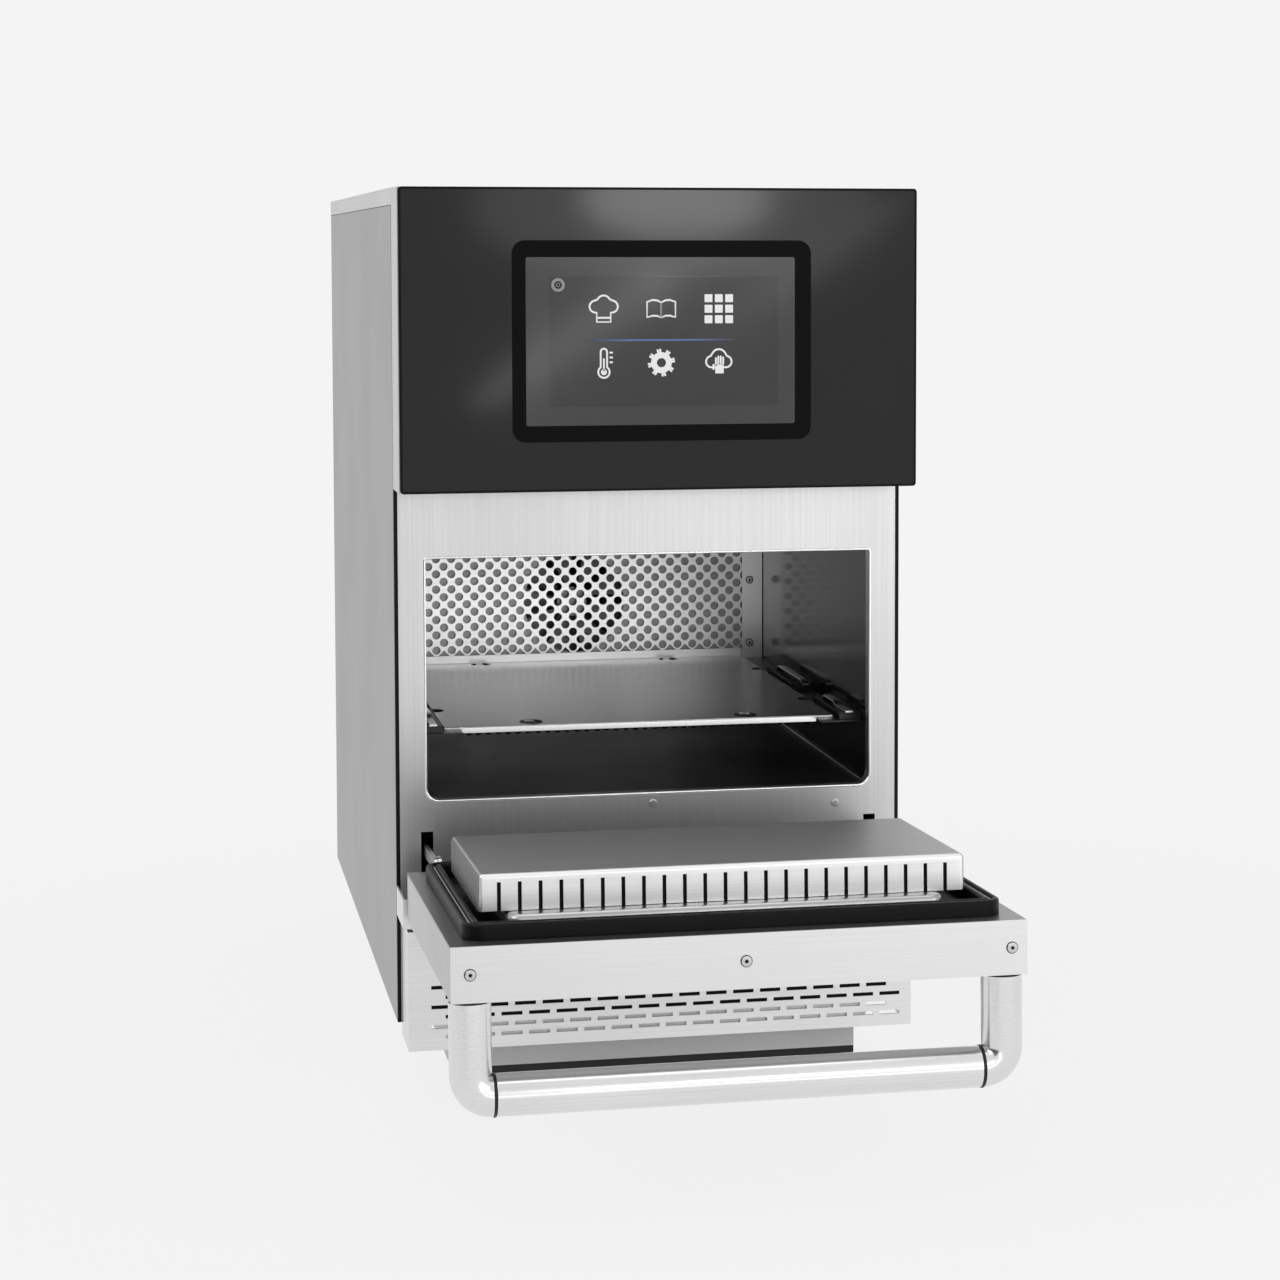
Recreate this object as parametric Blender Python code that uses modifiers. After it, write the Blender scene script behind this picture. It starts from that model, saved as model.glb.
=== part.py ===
"""A countertop speed oven as separate sheet-metal, door, hinge and machine pieces.

Everything is measured from the front frame: Y = 0 is the frame's front face, the back is +Y, the
counter is Z = 0 and X = 0 is the middle. One parent empty moves the whole oven so that the middle of
its footprint stands on the origin. The door hangs open, on a parent empty that lies on the hinge axis.
"""
import bpy
import bmesh
import math
from mathutils import Matrix, Vector

# Overall body
BODY_WIDTH = 0.356
BODY_HEIGHT = 0.620
BODY_DEPTH = 0.581
SHEET = 0.0012
FRAME_SHEET = 0.0015
GAP = 0.0003
OVERRUN = 0.004
HALF = BODY_WIDTH / 2

# Casing
COVER_LIP = 0.012
FLANGE = 0.028
SIDE_BOTTOM = 0.046
SIDE_FRONT = FRAME_SHEET + 0.0007
TOP_COVER_FRONT = 0.0005

# Plinth and feet
PLINTH_INSET = 0.0352
PLINTH_HALF = HALF - PLINTH_INSET
PLINTH_BOTTOM = 0.0150
PLINTH_FRONT = -0.0120
PLINTH_BACK_INSET = 0.021
PLINTH_BACK = BODY_DEPTH - PLINTH_BACK_INSET
FOOT_TOP_RADIUS = 0.019
FOOT_BOTTOM_RADIUS = 0.0135
FOOT_INSET = 0.0192
FOOT_X = PLINTH_HALF - FOOT_INSET
FOOT_FRONT_INSET = 0.022
FOOT_FRONT_Y = PLINTH_FRONT + FOOT_FRONT_INSET
FOOT_REAR_INSET = 0.030
FOOT_REAR_Y = PLINTH_BACK - FOOT_REAR_INSET

# Head: it and the lower front stand out from the frame by the same amount
HEAD_REACH = 0.048
HEAD_FRONT = -HEAD_REACH
HEAD_TOP = BODY_HEIGHT - TOP_COVER_FRONT
GLASS_HALF = HALF - TOP_COVER_FRONT
GLASS_THICK = 0.0040
GLASS_EDGE = 0.0016
BEZEL_SIZE = (0.2074, 0.1393)
BEZEL_SHIFT = -0.0003
BEZEL_DROP = 0.0345
BEZEL_RIMS = ((0.0094, 0.0113), (0.0111, 0.0107))
BEZEL_PROUD = 0.0008
BEZEL_RADIUS = 0.008
BEZEL_TOP = HEAD_TOP - BEZEL_DROP
BEZEL_SPAN = ((BEZEL_SHIFT - BEZEL_SIZE[0] / 2, BEZEL_SHIFT + BEZEL_SIZE[0] / 2),
              (BEZEL_TOP - BEZEL_SIZE[1], BEZEL_TOP))
SCREEN_SPAN = tuple((span[0] + rim[0], span[1] - rim[1]) for span, rim in zip(BEZEL_SPAN, BEZEL_RIMS))

# Door, in its closed place
DOOR_INSET = 0.0025
DOOR_SETBACK = 0.0041
DOOR_FRAME_GAP = 0.0105
DOOR_BOTTOM = 0.146
DOOR_LENGTH = 0.266
DOOR_HEAD_GAP = 0.003
DOOR_HALF = HALF - DOOR_INSET
DOOR_FRONT = HEAD_FRONT + DOOR_SETBACK
DOOR_BACK = -DOOR_FRAME_GAP
DOOR_TOP = DOOR_BOTTOM + DOOR_LENGTH
DOOR_OPEN = math.radians(87.87)
HEAD_BOTTOM = DOOR_TOP + DOOR_HEAD_GAP

# Oven opening and cavity
OPENING_INSET = 0.021
OPENING_HALF = HALF - OPENING_INSET
OPENING_ABOVE_DOOR_BOTTOM = 0.053
OPENING_HEIGHT = 0.168
OPENING_BOTTOM = DOOR_BOTTOM + OPENING_ABOVE_DOOR_BOTTOM
OPENING_TOP = OPENING_BOTTOM + OPENING_HEIGHT
OPENING_RADIUS = 0.009
OPENING_TOP_RADIUS = 0.002
LIP_DEPTH = 0.012
CAVITY_BACK = 0.4018
ROOF_RISE = 0.018
CAVITY_FLOOR_TOP = OPENING_BOTTOM - SHEET - 2 * GAP
CAVITY_ROOF = OPENING_TOP + ROOF_RISE
GRILLE_SPACE = 0.0338
GRILLE_FRONT = CAVITY_BACK - GRILLE_SPACE
GRILLE_PITCH = 0.0124
GRILLE_HOLE = 0.0033
GRILLE_EDGE = 0.0131
GRILLE_BELOW = 0.0563
GRILLE_ROWS = 13
GRILLE_COLUMNS = int(2 * (OPENING_HALF - GRILLE_EDGE) / GRILLE_PITCH)
GRILLE_FIRST_ROW = CAVITY_FLOOR_TOP + GRILLE_BELOW

# Gasket, pan and plug on the door's inner panel
GASKET_INSET = 0.0095
GASKET_BELOW = 0.018
GASKET_ABOVE = 0.016
GASKET_WIDTH = 0.0125
GASKET_CLEAR = 0.0008
PAN_CLEAR = 0.0010
PAN_INSET = 0.003
PLUG_SIDE_CLEAR = 0.0047
PLUG_LOW_CLEAR = 0.0036
PLUG_HIGH_CLEAR = 0.0115
PLUG_DEPTH = 0.0227
PLUG_SLOT = 0.0024
PLUG_SLOT_PITCH = 0.0127
PLUG_SLOT_START = 0.0052
PAN_HALF = OPENING_HALF - PAN_INSET
PAN_BOTTOM = OPENING_BOTTOM - PAN_INSET
PAN_TOP = OPENING_TOP + PAN_CLEAR
PAN_BACK = -PAN_CLEAR
GASKET_HALF = DOOR_HALF - GASKET_INSET
GASKET_INNER_HALF = PAN_HALF + GAP
GASKET_BOTTOM = DOOR_BOTTOM + GASKET_BELOW
GASKET_TOP = DOOR_TOP - GASKET_ABOVE
GASKET_BACK = -GASKET_CLEAR
PLUG_HALF = OPENING_HALF - PLUG_SIDE_CLEAR
PLUG_BOTTOM = OPENING_BOTTOM + PLUG_LOW_CLEAR
PLUG_TOP = OPENING_TOP - PLUG_HIGH_CLEAR
PLUG_BACK = PAN_BACK + GAP + PLUG_DEPTH
PLUG_SLOTS_WIDE = int(2 * PLUG_HALF / PLUG_SLOT_PITCH)
PLUG_SLOTS_TALL = int((PLUG_TOP - PLUG_BOTTOM) / PLUG_SLOT_PITCH)

# Handle
TUBE_RADIUS = 0.0127
HANDLE_INSET = 0.0125
HANDLE_BELOW_TOP = 0.0135
HANDLE_STANDOFF = 0.058
HANDLE_BEND = TUBE_RADIUS + GAP
HANDLE_RUN = 0.0008
RING_LENGTH = 0.0034
RING_PROUD = 0.0004
HANDLE_X = DOOR_HALF - HANDLE_INSET
RING_X = HANDLE_X - HANDLE_BEND - HANDLE_RUN - GAP - RING_LENGTH / 2
RING_RADIUS = TUBE_RADIUS + RING_PROUD

# Hinges: magnitudes of X, from the inside out
HINGE_BEHIND_FACE = 0.0045
HINGE_BELOW_DOOR = 0.0143
HINGE_Y = DOOR_FRONT + HINGE_BEHIND_FACE
HINGE_Z = DOOR_BOTTOM - HINGE_BELOW_DOOR
HINGE_INSET = 0.030
BRACKET_THICK = 0.0030
BRACKET_TO_ARM = 0.0025
ARM_THICK = 0.0022
LINK_THICK = 0.0025
BRACKET_SPAN = (HALF - HINGE_INSET, HALF - HINGE_INSET + BRACKET_THICK)
ARM_SPAN = (BRACKET_SPAN[1] + BRACKET_TO_ARM, BRACKET_SPAN[1] + BRACKET_TO_ARM + ARM_THICK)
LINK_SPAN = (ARM_SPAN[1] + GAP, ARM_SPAN[1] + GAP + LINK_THICK)
EYE_RADIUS = 0.0065
HINGE_PIN_RADIUS = 0.003
LUG_OUT = 0.0061
LUG_UP = 0.0076
LUG_Y = DOOR_BACK + LUG_OUT
LUG_Z = DOOR_BOTTOM + LUG_UP
LUG_RADIUS = 0.0045
STAY_PIN_RADIUS = 0.002
LINK_LENGTH = 0.085
LINK_RADIUS = 0.004
LINK_TILT_CLOSED = math.radians(2.4)
LINK_TILT_OPEN = math.radians(-2.9)
SLOT_SIDE_CLEAR = 0.0010
SLOT_OUTER_CLEAR = 0.0025
FRAME_SLOT_HEIGHT = 0.032
FRAME_SLOT_SPAN = (ARM_SPAN[0] - SLOT_SIDE_CLEAR, LINK_SPAN[1] + SLOT_OUTER_CLEAR)
FRAME_SLOT_BOTTOM = DOOR_BOTTOM
FRAME_SLOT_TOP = FRAME_SLOT_BOTTOM + FRAME_SLOT_HEIGHT
CASSETTE_WALL_CLEAR = 0.0025
CASSETTE_SPAN = (FRAME_SLOT_SPAN[0] - CASSETTE_WALL_CLEAR, FRAME_SLOT_SPAN[1] + CASSETTE_WALL_CLEAR)
CASSETTE_HIGH_CLEAR = 0.008
CASSETTE_LOW_CLEAR = 0.006
CASSETTE_BOTTOM = FRAME_SLOT_BOTTOM - CASSETTE_LOW_CLEAR
CASSETTE_TOP = FRAME_SLOT_TOP + CASSETTE_HIGH_CLEAR
CASSETTE_BACK = 0.150

# Lower front: a fixed hinge cover under the closed door, and the filter panel under that
COVER_DOOR_GAP = 0.0045
COVER_HEIGHT = 0.020
COVER_FILTER_GAP = 0.0022
NOTCH_CLEAR = 0.0015
NOTCH_RISE = 0.003
COVER_TOP = DOOR_BOTTOM - COVER_DOOR_GAP
COVER_BOTTOM = COVER_TOP - COVER_HEIGHT
NOTCH_BOTTOM = COVER_BOTTOM + NOTCH_RISE
NOTCH_INNER = BRACKET_SPAN[0] - NOTCH_CLEAR
NOTCH_OUTER = LINK_SPAN[1] + NOTCH_CLEAR
FILTER_INSET = 0.003
FILTER_HEIGHT = 0.0816
FILTER_HALF = HALF - FILTER_INSET
FILTER_TOP = COVER_BOTTOM - COVER_FILTER_GAP
FILTER_BOTTOM = FILTER_TOP - FILTER_HEIGHT
SLOT_LENGTH = 0.0144
SLOT_HEIGHT = 0.0025
SLOT_PITCH = 0.0189
SLOT_ROW_PITCH = 0.00675
SLOT_RISE = 0.008
SLOT_SHIFTS = (0.0084, -0.0012)
SLOT_FIRST_ROW = FILTER_BOTTOM + SLOT_RISE
SLOT_COLUMNS = int((2 * FILTER_HALF - SLOT_PITCH) / SLOT_PITCH)
SLOT_ROWS = 6
INTAKE_INSET = 0.040
INTAKE_HALF = HALF - INTAKE_INSET
INTAKE_RISE = 0.010
INTAKE_BOTTOM = SIDE_BOTTOM + INTAKE_RISE
INTAKE_TOP = FILTER_TOP - 2 * FRAME_SHEET

# Cook plate and rails
PLATE_INSET = 0.017
PLATE_HALF = OPENING_HALF - PLATE_INSET
PLATE_FRONT = 0.0415
PLATE_REAR_CLEAR = 0.0025
PLATE_BACK = GRILLE_FRONT - PLATE_REAR_CLEAR
PLATE_RISE = 0.0443
PLATE_TOP = OPENING_BOTTOM + PLATE_RISE
PLATE_FLANGE = 0.005
PLATE_NOTCH = 0.008
NOTCH_FRONT_SHARE = 0.55
NOTCH_EDGE = 0.0075
NOTCH_SIDE_SHARES = (0.245, 0.755)
RAIL_LEDGE = 0.0115
RAIL_TAB_CLEAR = 0.0025
RAIL_TAB_HIGH = 0.0029
RAIL_SHORT = 0.0155
RAIL_INNER = PLATE_HALF - RAIL_LEDGE
RAIL_TAB_INNER = PLATE_HALF + RAIL_TAB_CLEAR
RAIL_TAB_TOP = PLATE_TOP + RAIL_TAB_HIGH
RAIL_FRONT = PLATE_FRONT - RAIL_SHORT
RAIL_BACK = PLATE_BACK - FRAME_SHEET
RAIL_TAB_SHARES = ((0.012, 0.260), (0.465, 0.740))

# Machine parts
FAN_Z = (CAVITY_FLOOR_TOP + CAVITY_ROOF) / 2
FAN_RADIUS = 0.072
FAN_GRILLE_CLEAR = 0.0055
FAN_WALL_CLEAR = 0.0073
FAN_FRONT = GRILLE_FRONT + FAN_GRILLE_CLEAR
FAN_BACK = CAVITY_BACK - FAN_WALL_CLEAR
FAN_BLADES = 9
SHAFT_RADIUS = 0.004
HEATER_CLEAR = 0.012
HEATER_TUBE = 0.0035
HEATER_RADIUS = FAN_RADIUS + HEATER_CLEAR
HEATER_Y = (FAN_FRONT + FAN_BACK) / 2
MOTOR_RADIUS = 0.034
MOTOR_LENGTH = 0.062
COOLER_HALF = 0.062
COOLER_FRONT = 0.070
COOLER_DEPTH = 0.026
COOLER_BACK = COOLER_FRONT + COOLER_DEPTH
COOLER_WALL = 0.008
COOLER_RADIUS = COOLER_HALF - COOLER_WALL
COOLER_BLADES = 5
GLAND_INSET = 0.058
GLAND_X = -HALF + GLAND_INSET
GLAND_Z = 0.085
GLAND_LENGTH = 0.0125

# Rear panel and cord gland
LOUVRE_LENGTH = 0.052
LOUVRE_WIDTH = 0.005
LOUVRE_PITCH = 0.012
LOUVRE_MARGIN = 0.068
LOUVRES = int((BODY_WIDTH - 2 * LOUVRE_MARGIN) / LOUVRE_PITCH)
LOUVRE_ROWS = (0.150, 0.470)
GLAND_FLANGE_RADIUS = 0.016
GLAND_NECK_RADIUS = 0.011
GLAND_FLANGE = 0.004

# Control board
BOARD_THICK = 0.0016
BOARD_INSET = 0.012

# Heater, jet plate and fan wheel
HEATER_LEAD_X = 0.012
HEATER_STEPS = 26
JET_HOLE = 0.006
JET_COLUMNS = 5
JET_ROWS = 5
JET_PITCH = 0.052
JET_INSET = 0.012
JET_HALF = OPENING_HALF - JET_INSET
JET_SPAN_Y = (0.045, 0.340)
JET_DEPTH = 0.008
BLADE_THICK = 0.0010
FAN_HUB_RADIUS = 0.012

# Microwave source and power supply
WAVEGUIDE_SPAN = ((-0.048, 0.048), (0.180, 0.350))
WAVEGUIDE_HEIGHT = 0.030
MAGNETRON_SPAN = ((-0.040, 0.040), (0.245, 0.335))
MAGNETRON_HEIGHT = 0.085
MAGNETRON_FINS = 6
SUPPLY_SPAN = ((-0.135, -0.015), (0.330, 0.500))
SUPPLY_HEIGHT = 0.018
COIL_SPAN = ((-0.115, -0.055), (0.350, 0.410))
COIL_HEIGHT = 0.060

# Small forms
COOLER_BAR = 0.006
COOLER_HUB_RADIUS = 0.018
GASKET_RIDGE_WIDTH = 0.0042
GASKET_RIDGE_LOW = 0.0035
PAN_RADIUS = 0.012
FOOT_DEPTH = 0.0015
BRACKET_FOOT = 0.006
BEND_STEPS = 5
WELD = 0.00001

# The front reach is that of the open door's handle, the rear reach that of the cord gland
HANDLE_DROP = DOOR_TOP - HANDLE_BELOW_TOP - HINGE_Z
HANDLE_OUT = HANDLE_STANDOFF - DOOR_FRONT + HINGE_Y
FRONT_REACH = (-HINGE_Y + HANDLE_DROP * math.sin(DOOR_OPEN)
               + HANDLE_OUT * math.cos(DOOR_OPEN) + RING_RADIUS)
REAR_REACH = BODY_DEPTH + GAP + GLAND_LENGTH
FRAME_Y = (FRONT_REACH - REAR_REACH) / 2

FINISHES = {
    "brushed_steel": ((0.46, 0.46, 0.45), 1.0, 0.34),
    "bright_steel": ((0.66, 0.66, 0.65), 1.0, 0.22),
    "dark_steel": ((0.16, 0.16, 0.16), 1.0, 0.38),
    "grey_paint": ((0.42, 0.43, 0.44), 0.0, 0.45),
    "cast_grey": ((0.28, 0.28, 0.28), 0.6, 0.50),
    "black_glass": ((0.02, 0.02, 0.022), 0.0, 0.08),
    "black_plastic": ((0.015, 0.015, 0.015), 0.0, 0.40),
    "black_rubber": ((0.012, 0.012, 0.012), 0.0, 0.65),
    "display": ((0.02, 0.025, 0.04), 0.0, 0.12),
    "circuit_green": ((0.03, 0.16, 0.07), 0.0, 0.45),
    "copper": ((0.70, 0.33, 0.17), 1.0, 0.35),
}


def start_scene():
    for thing in list(bpy.data.objects):
        bpy.data.objects.remove(thing)
    oven = bpy.data.collections.new("speed_oven")
    cutters = bpy.data.collections.new("cutters")
    bpy.context.scene.collection.children.link(oven)
    bpy.context.scene.collection.children.link(cutters)
    return oven, cutters


PARTS, CUTTERS = start_scene()


def empty(name, place, parent=None):
    point = bpy.data.objects.new(name, None)
    point.location = place
    point.parent = parent
    PARTS.objects.link(point)
    return point


ROOT = empty("speed_oven_root", (0, FRAME_Y, 0))
DOOR_PIVOT = empty("door_pivot", (0, HINGE_Y, HINGE_Z), ROOT)
DOOR_PIVOT.rotation_euler = (DOOR_OPEN, 0, 0)


def finish_material(finish):
    material = bpy.data.materials.get(finish)
    if material:
        return material
    colour, metallic, roughness = FINISHES[finish]
    material = bpy.data.materials.new(finish)
    material.use_nodes = True
    shader = material.node_tree.nodes["Principled BSDF"]
    shader.inputs["Base Color"].default_value = (*colour, 1)
    shader.inputs["Metallic"].default_value = metallic
    shader.inputs["Roughness"].default_value = roughness
    material.diffuse_color = (*colour, 1)
    return material


def middle(spans):
    return Vector([(low + high) / 2 for low, high in spans])


def block_mesh(name, spans, origin):
    """A box given by its spans in X, Y and Z, as a mesh about the origin given."""
    mesh = bpy.data.meshes.new(name)
    work = bmesh.new()
    size = [high - low for low, high in spans]
    place = Matrix.Translation(middle(spans) - Vector(origin)) @ Matrix.Diagonal((*size, 1))
    bmesh.ops.create_cube(work, size=1, matrix=place)
    work.to_mesh(mesh)
    work.free()
    return mesh


def blocks_mesh(name, boxes, origin):
    """Several separate boxes in one mesh, for a cutter that makes a row of slots."""
    mesh = bpy.data.meshes.new(name)
    work = bmesh.new()
    for spans in boxes:
        size = [high - low for low, high in spans]
        place = Matrix.Translation(middle(spans) - Vector(origin)) @ Matrix.Diagonal((*size, 1))
        bmesh.ops.create_cube(work, size=1, matrix=place)
    work.to_mesh(mesh)
    work.free()
    return mesh


AXIS_TURNS = {
    "X": Matrix.Rotation(math.pi / 2, 4, "Y"),
    "Y": Matrix.Rotation(-math.pi / 2, 4, "X"),
    "Z": Matrix.Identity(4),
}


def rounds_mesh(name, discs, origin, axis, sides):
    """Several separate cylinders or cones; each disc gives its middle, length and two radii."""
    mesh = bpy.data.meshes.new(name)
    work = bmesh.new()
    for centre, length, low_radius, high_radius in discs:
        place = Matrix.Translation(Vector(centre) - Vector(origin)) @ AXIS_TURNS[axis]
        bmesh.ops.create_cone(work, cap_ends=True, segments=sides, radius1=low_radius,
                              radius2=high_radius, depth=length, matrix=place)
    work.to_mesh(mesh)
    work.free()
    return mesh


def add(name, mesh, origin, finish, pivot=None):
    """Name a piece, give it its finish and hang it from the oven's root or from a pivot."""
    piece = bpy.data.objects.new(name, mesh)
    mesh.materials.clear()
    mesh.materials.append(finish_material(finish))
    place = Vector(origin)
    piece.parent = ROOT
    if pivot:
        piece.parent = pivot
        place = place - pivot.location
    piece.location = place
    PARTS.objects.link(piece)
    return piece


def block(name, spans, finish, pivot=None):
    origin = middle(spans)
    return add(name, block_mesh(name, spans, origin), origin, finish, pivot)


def shape(target, mesh, operation="DIFFERENCE"):
    """Cut a mesh out of a piece, or join one on; the mesh is measured from the piece's origin."""
    tool = bpy.data.objects.new(target.name + "_tool", mesh)
    tool.parent = target.parent
    tool.location = target.location
    tool.rotation_euler = target.rotation_euler
    tool.hide_render = True
    tool.display_type = "WIRE"
    CUTTERS.objects.link(tool)
    change = target.modifiers.new("shape", "BOOLEAN")
    change.object = tool
    change.operation = operation
    change.solver = "EXACT"
    return change


def cut_block(target, spans, origin):
    return shape(target, block_mesh("cut", spans, origin))


def join_block(target, spans, origin):
    return shape(target, block_mesh("join", spans, origin), "UNION")


def hollow(name, spans, inner, finish, pivot=None, edge=0):
    """A folded sheet casing: a box, with its edges rounded off first, and a box taken out of it."""
    piece = block(name, spans, finish, pivot)
    if edge:
        bevel(piece, edge)
    cut_block(piece, inner, middle(spans))
    return piece


def outline_mesh(name, loops, span, axis):
    """A flat plate cut to an outline, with holes; the outline lies across the axis given."""
    curve = bpy.data.curves.new(name, "CURVE")
    curve.dimensions = "2D"
    curve.fill_mode = "BOTH"
    curve.extrude = (span[1] - span[0]) / 2
    for loop in loops:
        line = curve.splines.new("POLY")
        line.points.add(len(loop) - 1)
        for point, (across, up) in zip(line.points, loop):
            point.co = (across, up, 0, 1)
        line.use_cyclic_u = True
    flat = bpy.data.objects.new(name, curve)
    CUTTERS.objects.link(flat)
    bpy.context.view_layer.update()
    seen = flat.evaluated_get(bpy.context.evaluated_depsgraph_get())
    mesh = bpy.data.meshes.new_from_object(seen)
    bpy.data.objects.remove(flat)
    stand = {
        "X": Matrix(((0, 0, 1, 0), (1, 0, 0, 0), (0, 1, 0, 0), (0, 0, 0, 1))),
        "Y": Matrix(((1, 0, 0, 0), (0, 0, -1, 0), (0, 1, 0, 0), (0, 0, 0, 1))),
        "Z": Matrix.Identity(4),
    }[axis]
    along = {"X": (1, 0, 0), "Y": (0, 1, 0), "Z": (0, 0, 1)}[axis]
    shift = Matrix.Translation(Vector(along) * (span[0] + span[1]) / 2)
    mesh.transform(shift @ stand)
    weld(mesh)
    return mesh


def weld(mesh):
    work = bmesh.new()
    work.from_mesh(mesh)
    bmesh.ops.remove_doubles(work, verts=work.verts, dist=WELD)
    bmesh.ops.recalc_face_normals(work, faces=work.faces)
    work.to_mesh(mesh)
    work.free()


def arc(centre, radius, start, end, steps):
    """Points on an arc, with the angles in degrees."""
    points = []
    for step in range(steps + 1):
        angle = math.radians(start + (end - start) * step / steps)
        points.append((centre[0] + radius * math.cos(angle), centre[1] + radius * math.sin(angle)))
    return points


def rounded(span_across, span_up, radius, steps=4, top_radius=None):
    """The outline of a rectangle with round corners; the upper two may have a radius of their own."""
    left, right = span_across
    low, high = span_up
    upper = top_radius or radius
    corners = ((right - upper, high - upper, upper), (left + upper, high - upper, upper),
               (left + radius, low + radius, radius), (right - radius, low + radius, radius))
    points = []
    for quarter, (across, up, size) in enumerate(corners):
        points.extend(arc((across, up), size, 90 * quarter, 90 * quarter + 90, steps))
    return points


def bevel(piece, width, segments=2, angle=50):
    change = piece.modifiers.new("edge", "BEVEL")
    change.width = width
    change.segments = segments
    change.limit_method = "ANGLE"
    change.angle_limit = math.radians(angle)
    return change


def smooth(piece, angle=35):
    """Shade round faces smooth and keep the sharp edges sharp."""
    mesh = piece.data
    mesh.shade_smooth()
    mesh.set_sharp_from_angle(angle=math.radians(angle))
    return piece


def tube(name, points, radius, origin, finish, resolution=2, pivot=None):
    """A round rod or pipe bent along the points given."""
    curve = bpy.data.curves.new(name, "CURVE")
    curve.dimensions = "3D"
    curve.bevel_depth = radius
    curve.bevel_resolution = resolution
    curve.use_fill_caps = True
    line = curve.splines.new("POLY")
    line.points.add(len(points) - 1)
    for point, place in zip(line.points, points):
        point.co = (*(Vector(place) - Vector(origin)), 1)
    bent = bpy.data.objects.new(name, curve)
    CUTTERS.objects.link(bent)
    bpy.context.view_layer.update()
    seen = bent.evaluated_get(bpy.context.evaluated_depsgraph_get())
    mesh = bpy.data.meshes.new_from_object(seen)
    bpy.data.objects.remove(bent)
    weld(mesh)
    return smooth(add(name, mesh, origin, finish, pivot))


SIDES = (("left", -1), ("right", 1))


def grow(span, amount):
    """A span made longer, or with a negative amount shorter, at both its ends."""
    return (span[0] - amount, span[1] + amount)


def side_span(side, span):
    """A span given as magnitudes of X, on the left or on the right of the middle."""
    return tuple(sorted((side * span[0], side * span[1])))


def base():
    tray = ((-PLINTH_HALF, PLINTH_HALF), (PLINTH_FRONT, PLINTH_BACK),
            (PLINTH_BOTTOM, SIDE_BOTTOM + SHEET))
    inner = ((-PLINTH_HALF + SHEET, PLINTH_HALF - SHEET), (PLINTH_FRONT + SHEET, PLINTH_BACK - SHEET),
             (PLINTH_BOTTOM + SHEET, SIDE_BOTTOM + SHEET + OVERRUN))
    hollow("base_plinth", tray, inner, "grey_paint")
    floor_bottom = SIDE_BOTTOM + SHEET + GAP
    spans = (grow((-HALF, HALF), -SHEET - GAP), (FRAME_SHEET + GAP, BODY_DEPTH - SHEET - 2 * GAP),
             (floor_bottom, floor_bottom + FRAME_SHEET))
    block("chassis_floor", spans, "brushed_steel")
    height = PLINTH_BOTTOM - GAP
    for end, place_y in (("front", FOOT_FRONT_Y), ("rear", FOOT_REAR_Y)):
        for name, side in SIDES:
            centre = (side * FOOT_X, place_y, height / 2)
            disc = (centre, height, FOOT_BOTTOM_RADIUS, FOOT_TOP_RADIUS)
            foot = add("foot_" + end + "_" + name, rounds_mesh("foot", [disc], centre, "Z", 20),
                       centre, "black_rubber")
            smooth(foot)


def side_panels():
    for name, side in SIDES:
        spans = (side_span(side, (HALF - FLANGE, HALF)), (SIDE_FRONT, BODY_DEPTH - SHEET - GAP),
                 (SIDE_BOTTOM, BODY_HEIGHT - COVER_LIP - GAP))
        inner = (side_span(side, (HALF - FLANGE - OVERRUN, HALF - SHEET)),
                 (SIDE_FRONT - OVERRUN, BODY_DEPTH),
                 (SIDE_BOTTOM + SHEET, BODY_HEIGHT - COVER_LIP - GAP - SHEET))
        hollow("side_panel_" + name, spans, inner, "brushed_steel")


def top_cover():
    spans = ((-HALF, HALF), (TOP_COVER_FRONT, BODY_DEPTH - SHEET - GAP),
             (BODY_HEIGHT - COVER_LIP, BODY_HEIGHT))
    inner = ((-HALF + SHEET, HALF - SHEET),
             (TOP_COVER_FRONT + SHEET, BODY_DEPTH - 2 * SHEET - GAP),
             (BODY_HEIGHT - COVER_LIP - OVERRUN, BODY_HEIGHT - SHEET))
    hollow("top_cover", spans, inner, "brushed_steel", edge=SHEET * 0.6)


def rear_panel():
    spans = ((-HALF, HALF), (BODY_DEPTH - SHEET, BODY_DEPTH), (SIDE_BOTTOM, BODY_HEIGHT))
    panel = block("rear_panel", spans, "brushed_steel")
    slots = []
    for low in LOUVRE_ROWS:
        for count in range(LOUVRES):
            left = (count - (LOUVRES - 1) / 2) * LOUVRE_PITCH - LOUVRE_WIDTH / 2
            slots.append(((left, left + LOUVRE_WIDTH), (BODY_DEPTH - OVERRUN, BODY_DEPTH + OVERRUN),
                          (low, low + LOUVRE_LENGTH)))
    shape(panel, blocks_mesh("louvres", slots, middle(spans)))


def cord_gland():
    start = BODY_DEPTH + GAP
    flange = ((GLAND_X, start + GLAND_FLANGE / 2, GLAND_Z), GLAND_FLANGE,
              GLAND_FLANGE_RADIUS, GLAND_FLANGE_RADIUS)
    origin = flange[0]
    gland = add("cord_gland", rounds_mesh("gland", [flange], origin, "Y", 6), origin, "black_plastic")
    neck = ((GLAND_X, start + GLAND_LENGTH / 2, GLAND_Z), GLAND_LENGTH,
            GLAND_NECK_RADIUS, GLAND_NECK_RADIUS)
    shape(gland, rounds_mesh("neck", [neck], origin, "Y", 16), "UNION")
    smooth(gland)


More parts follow.
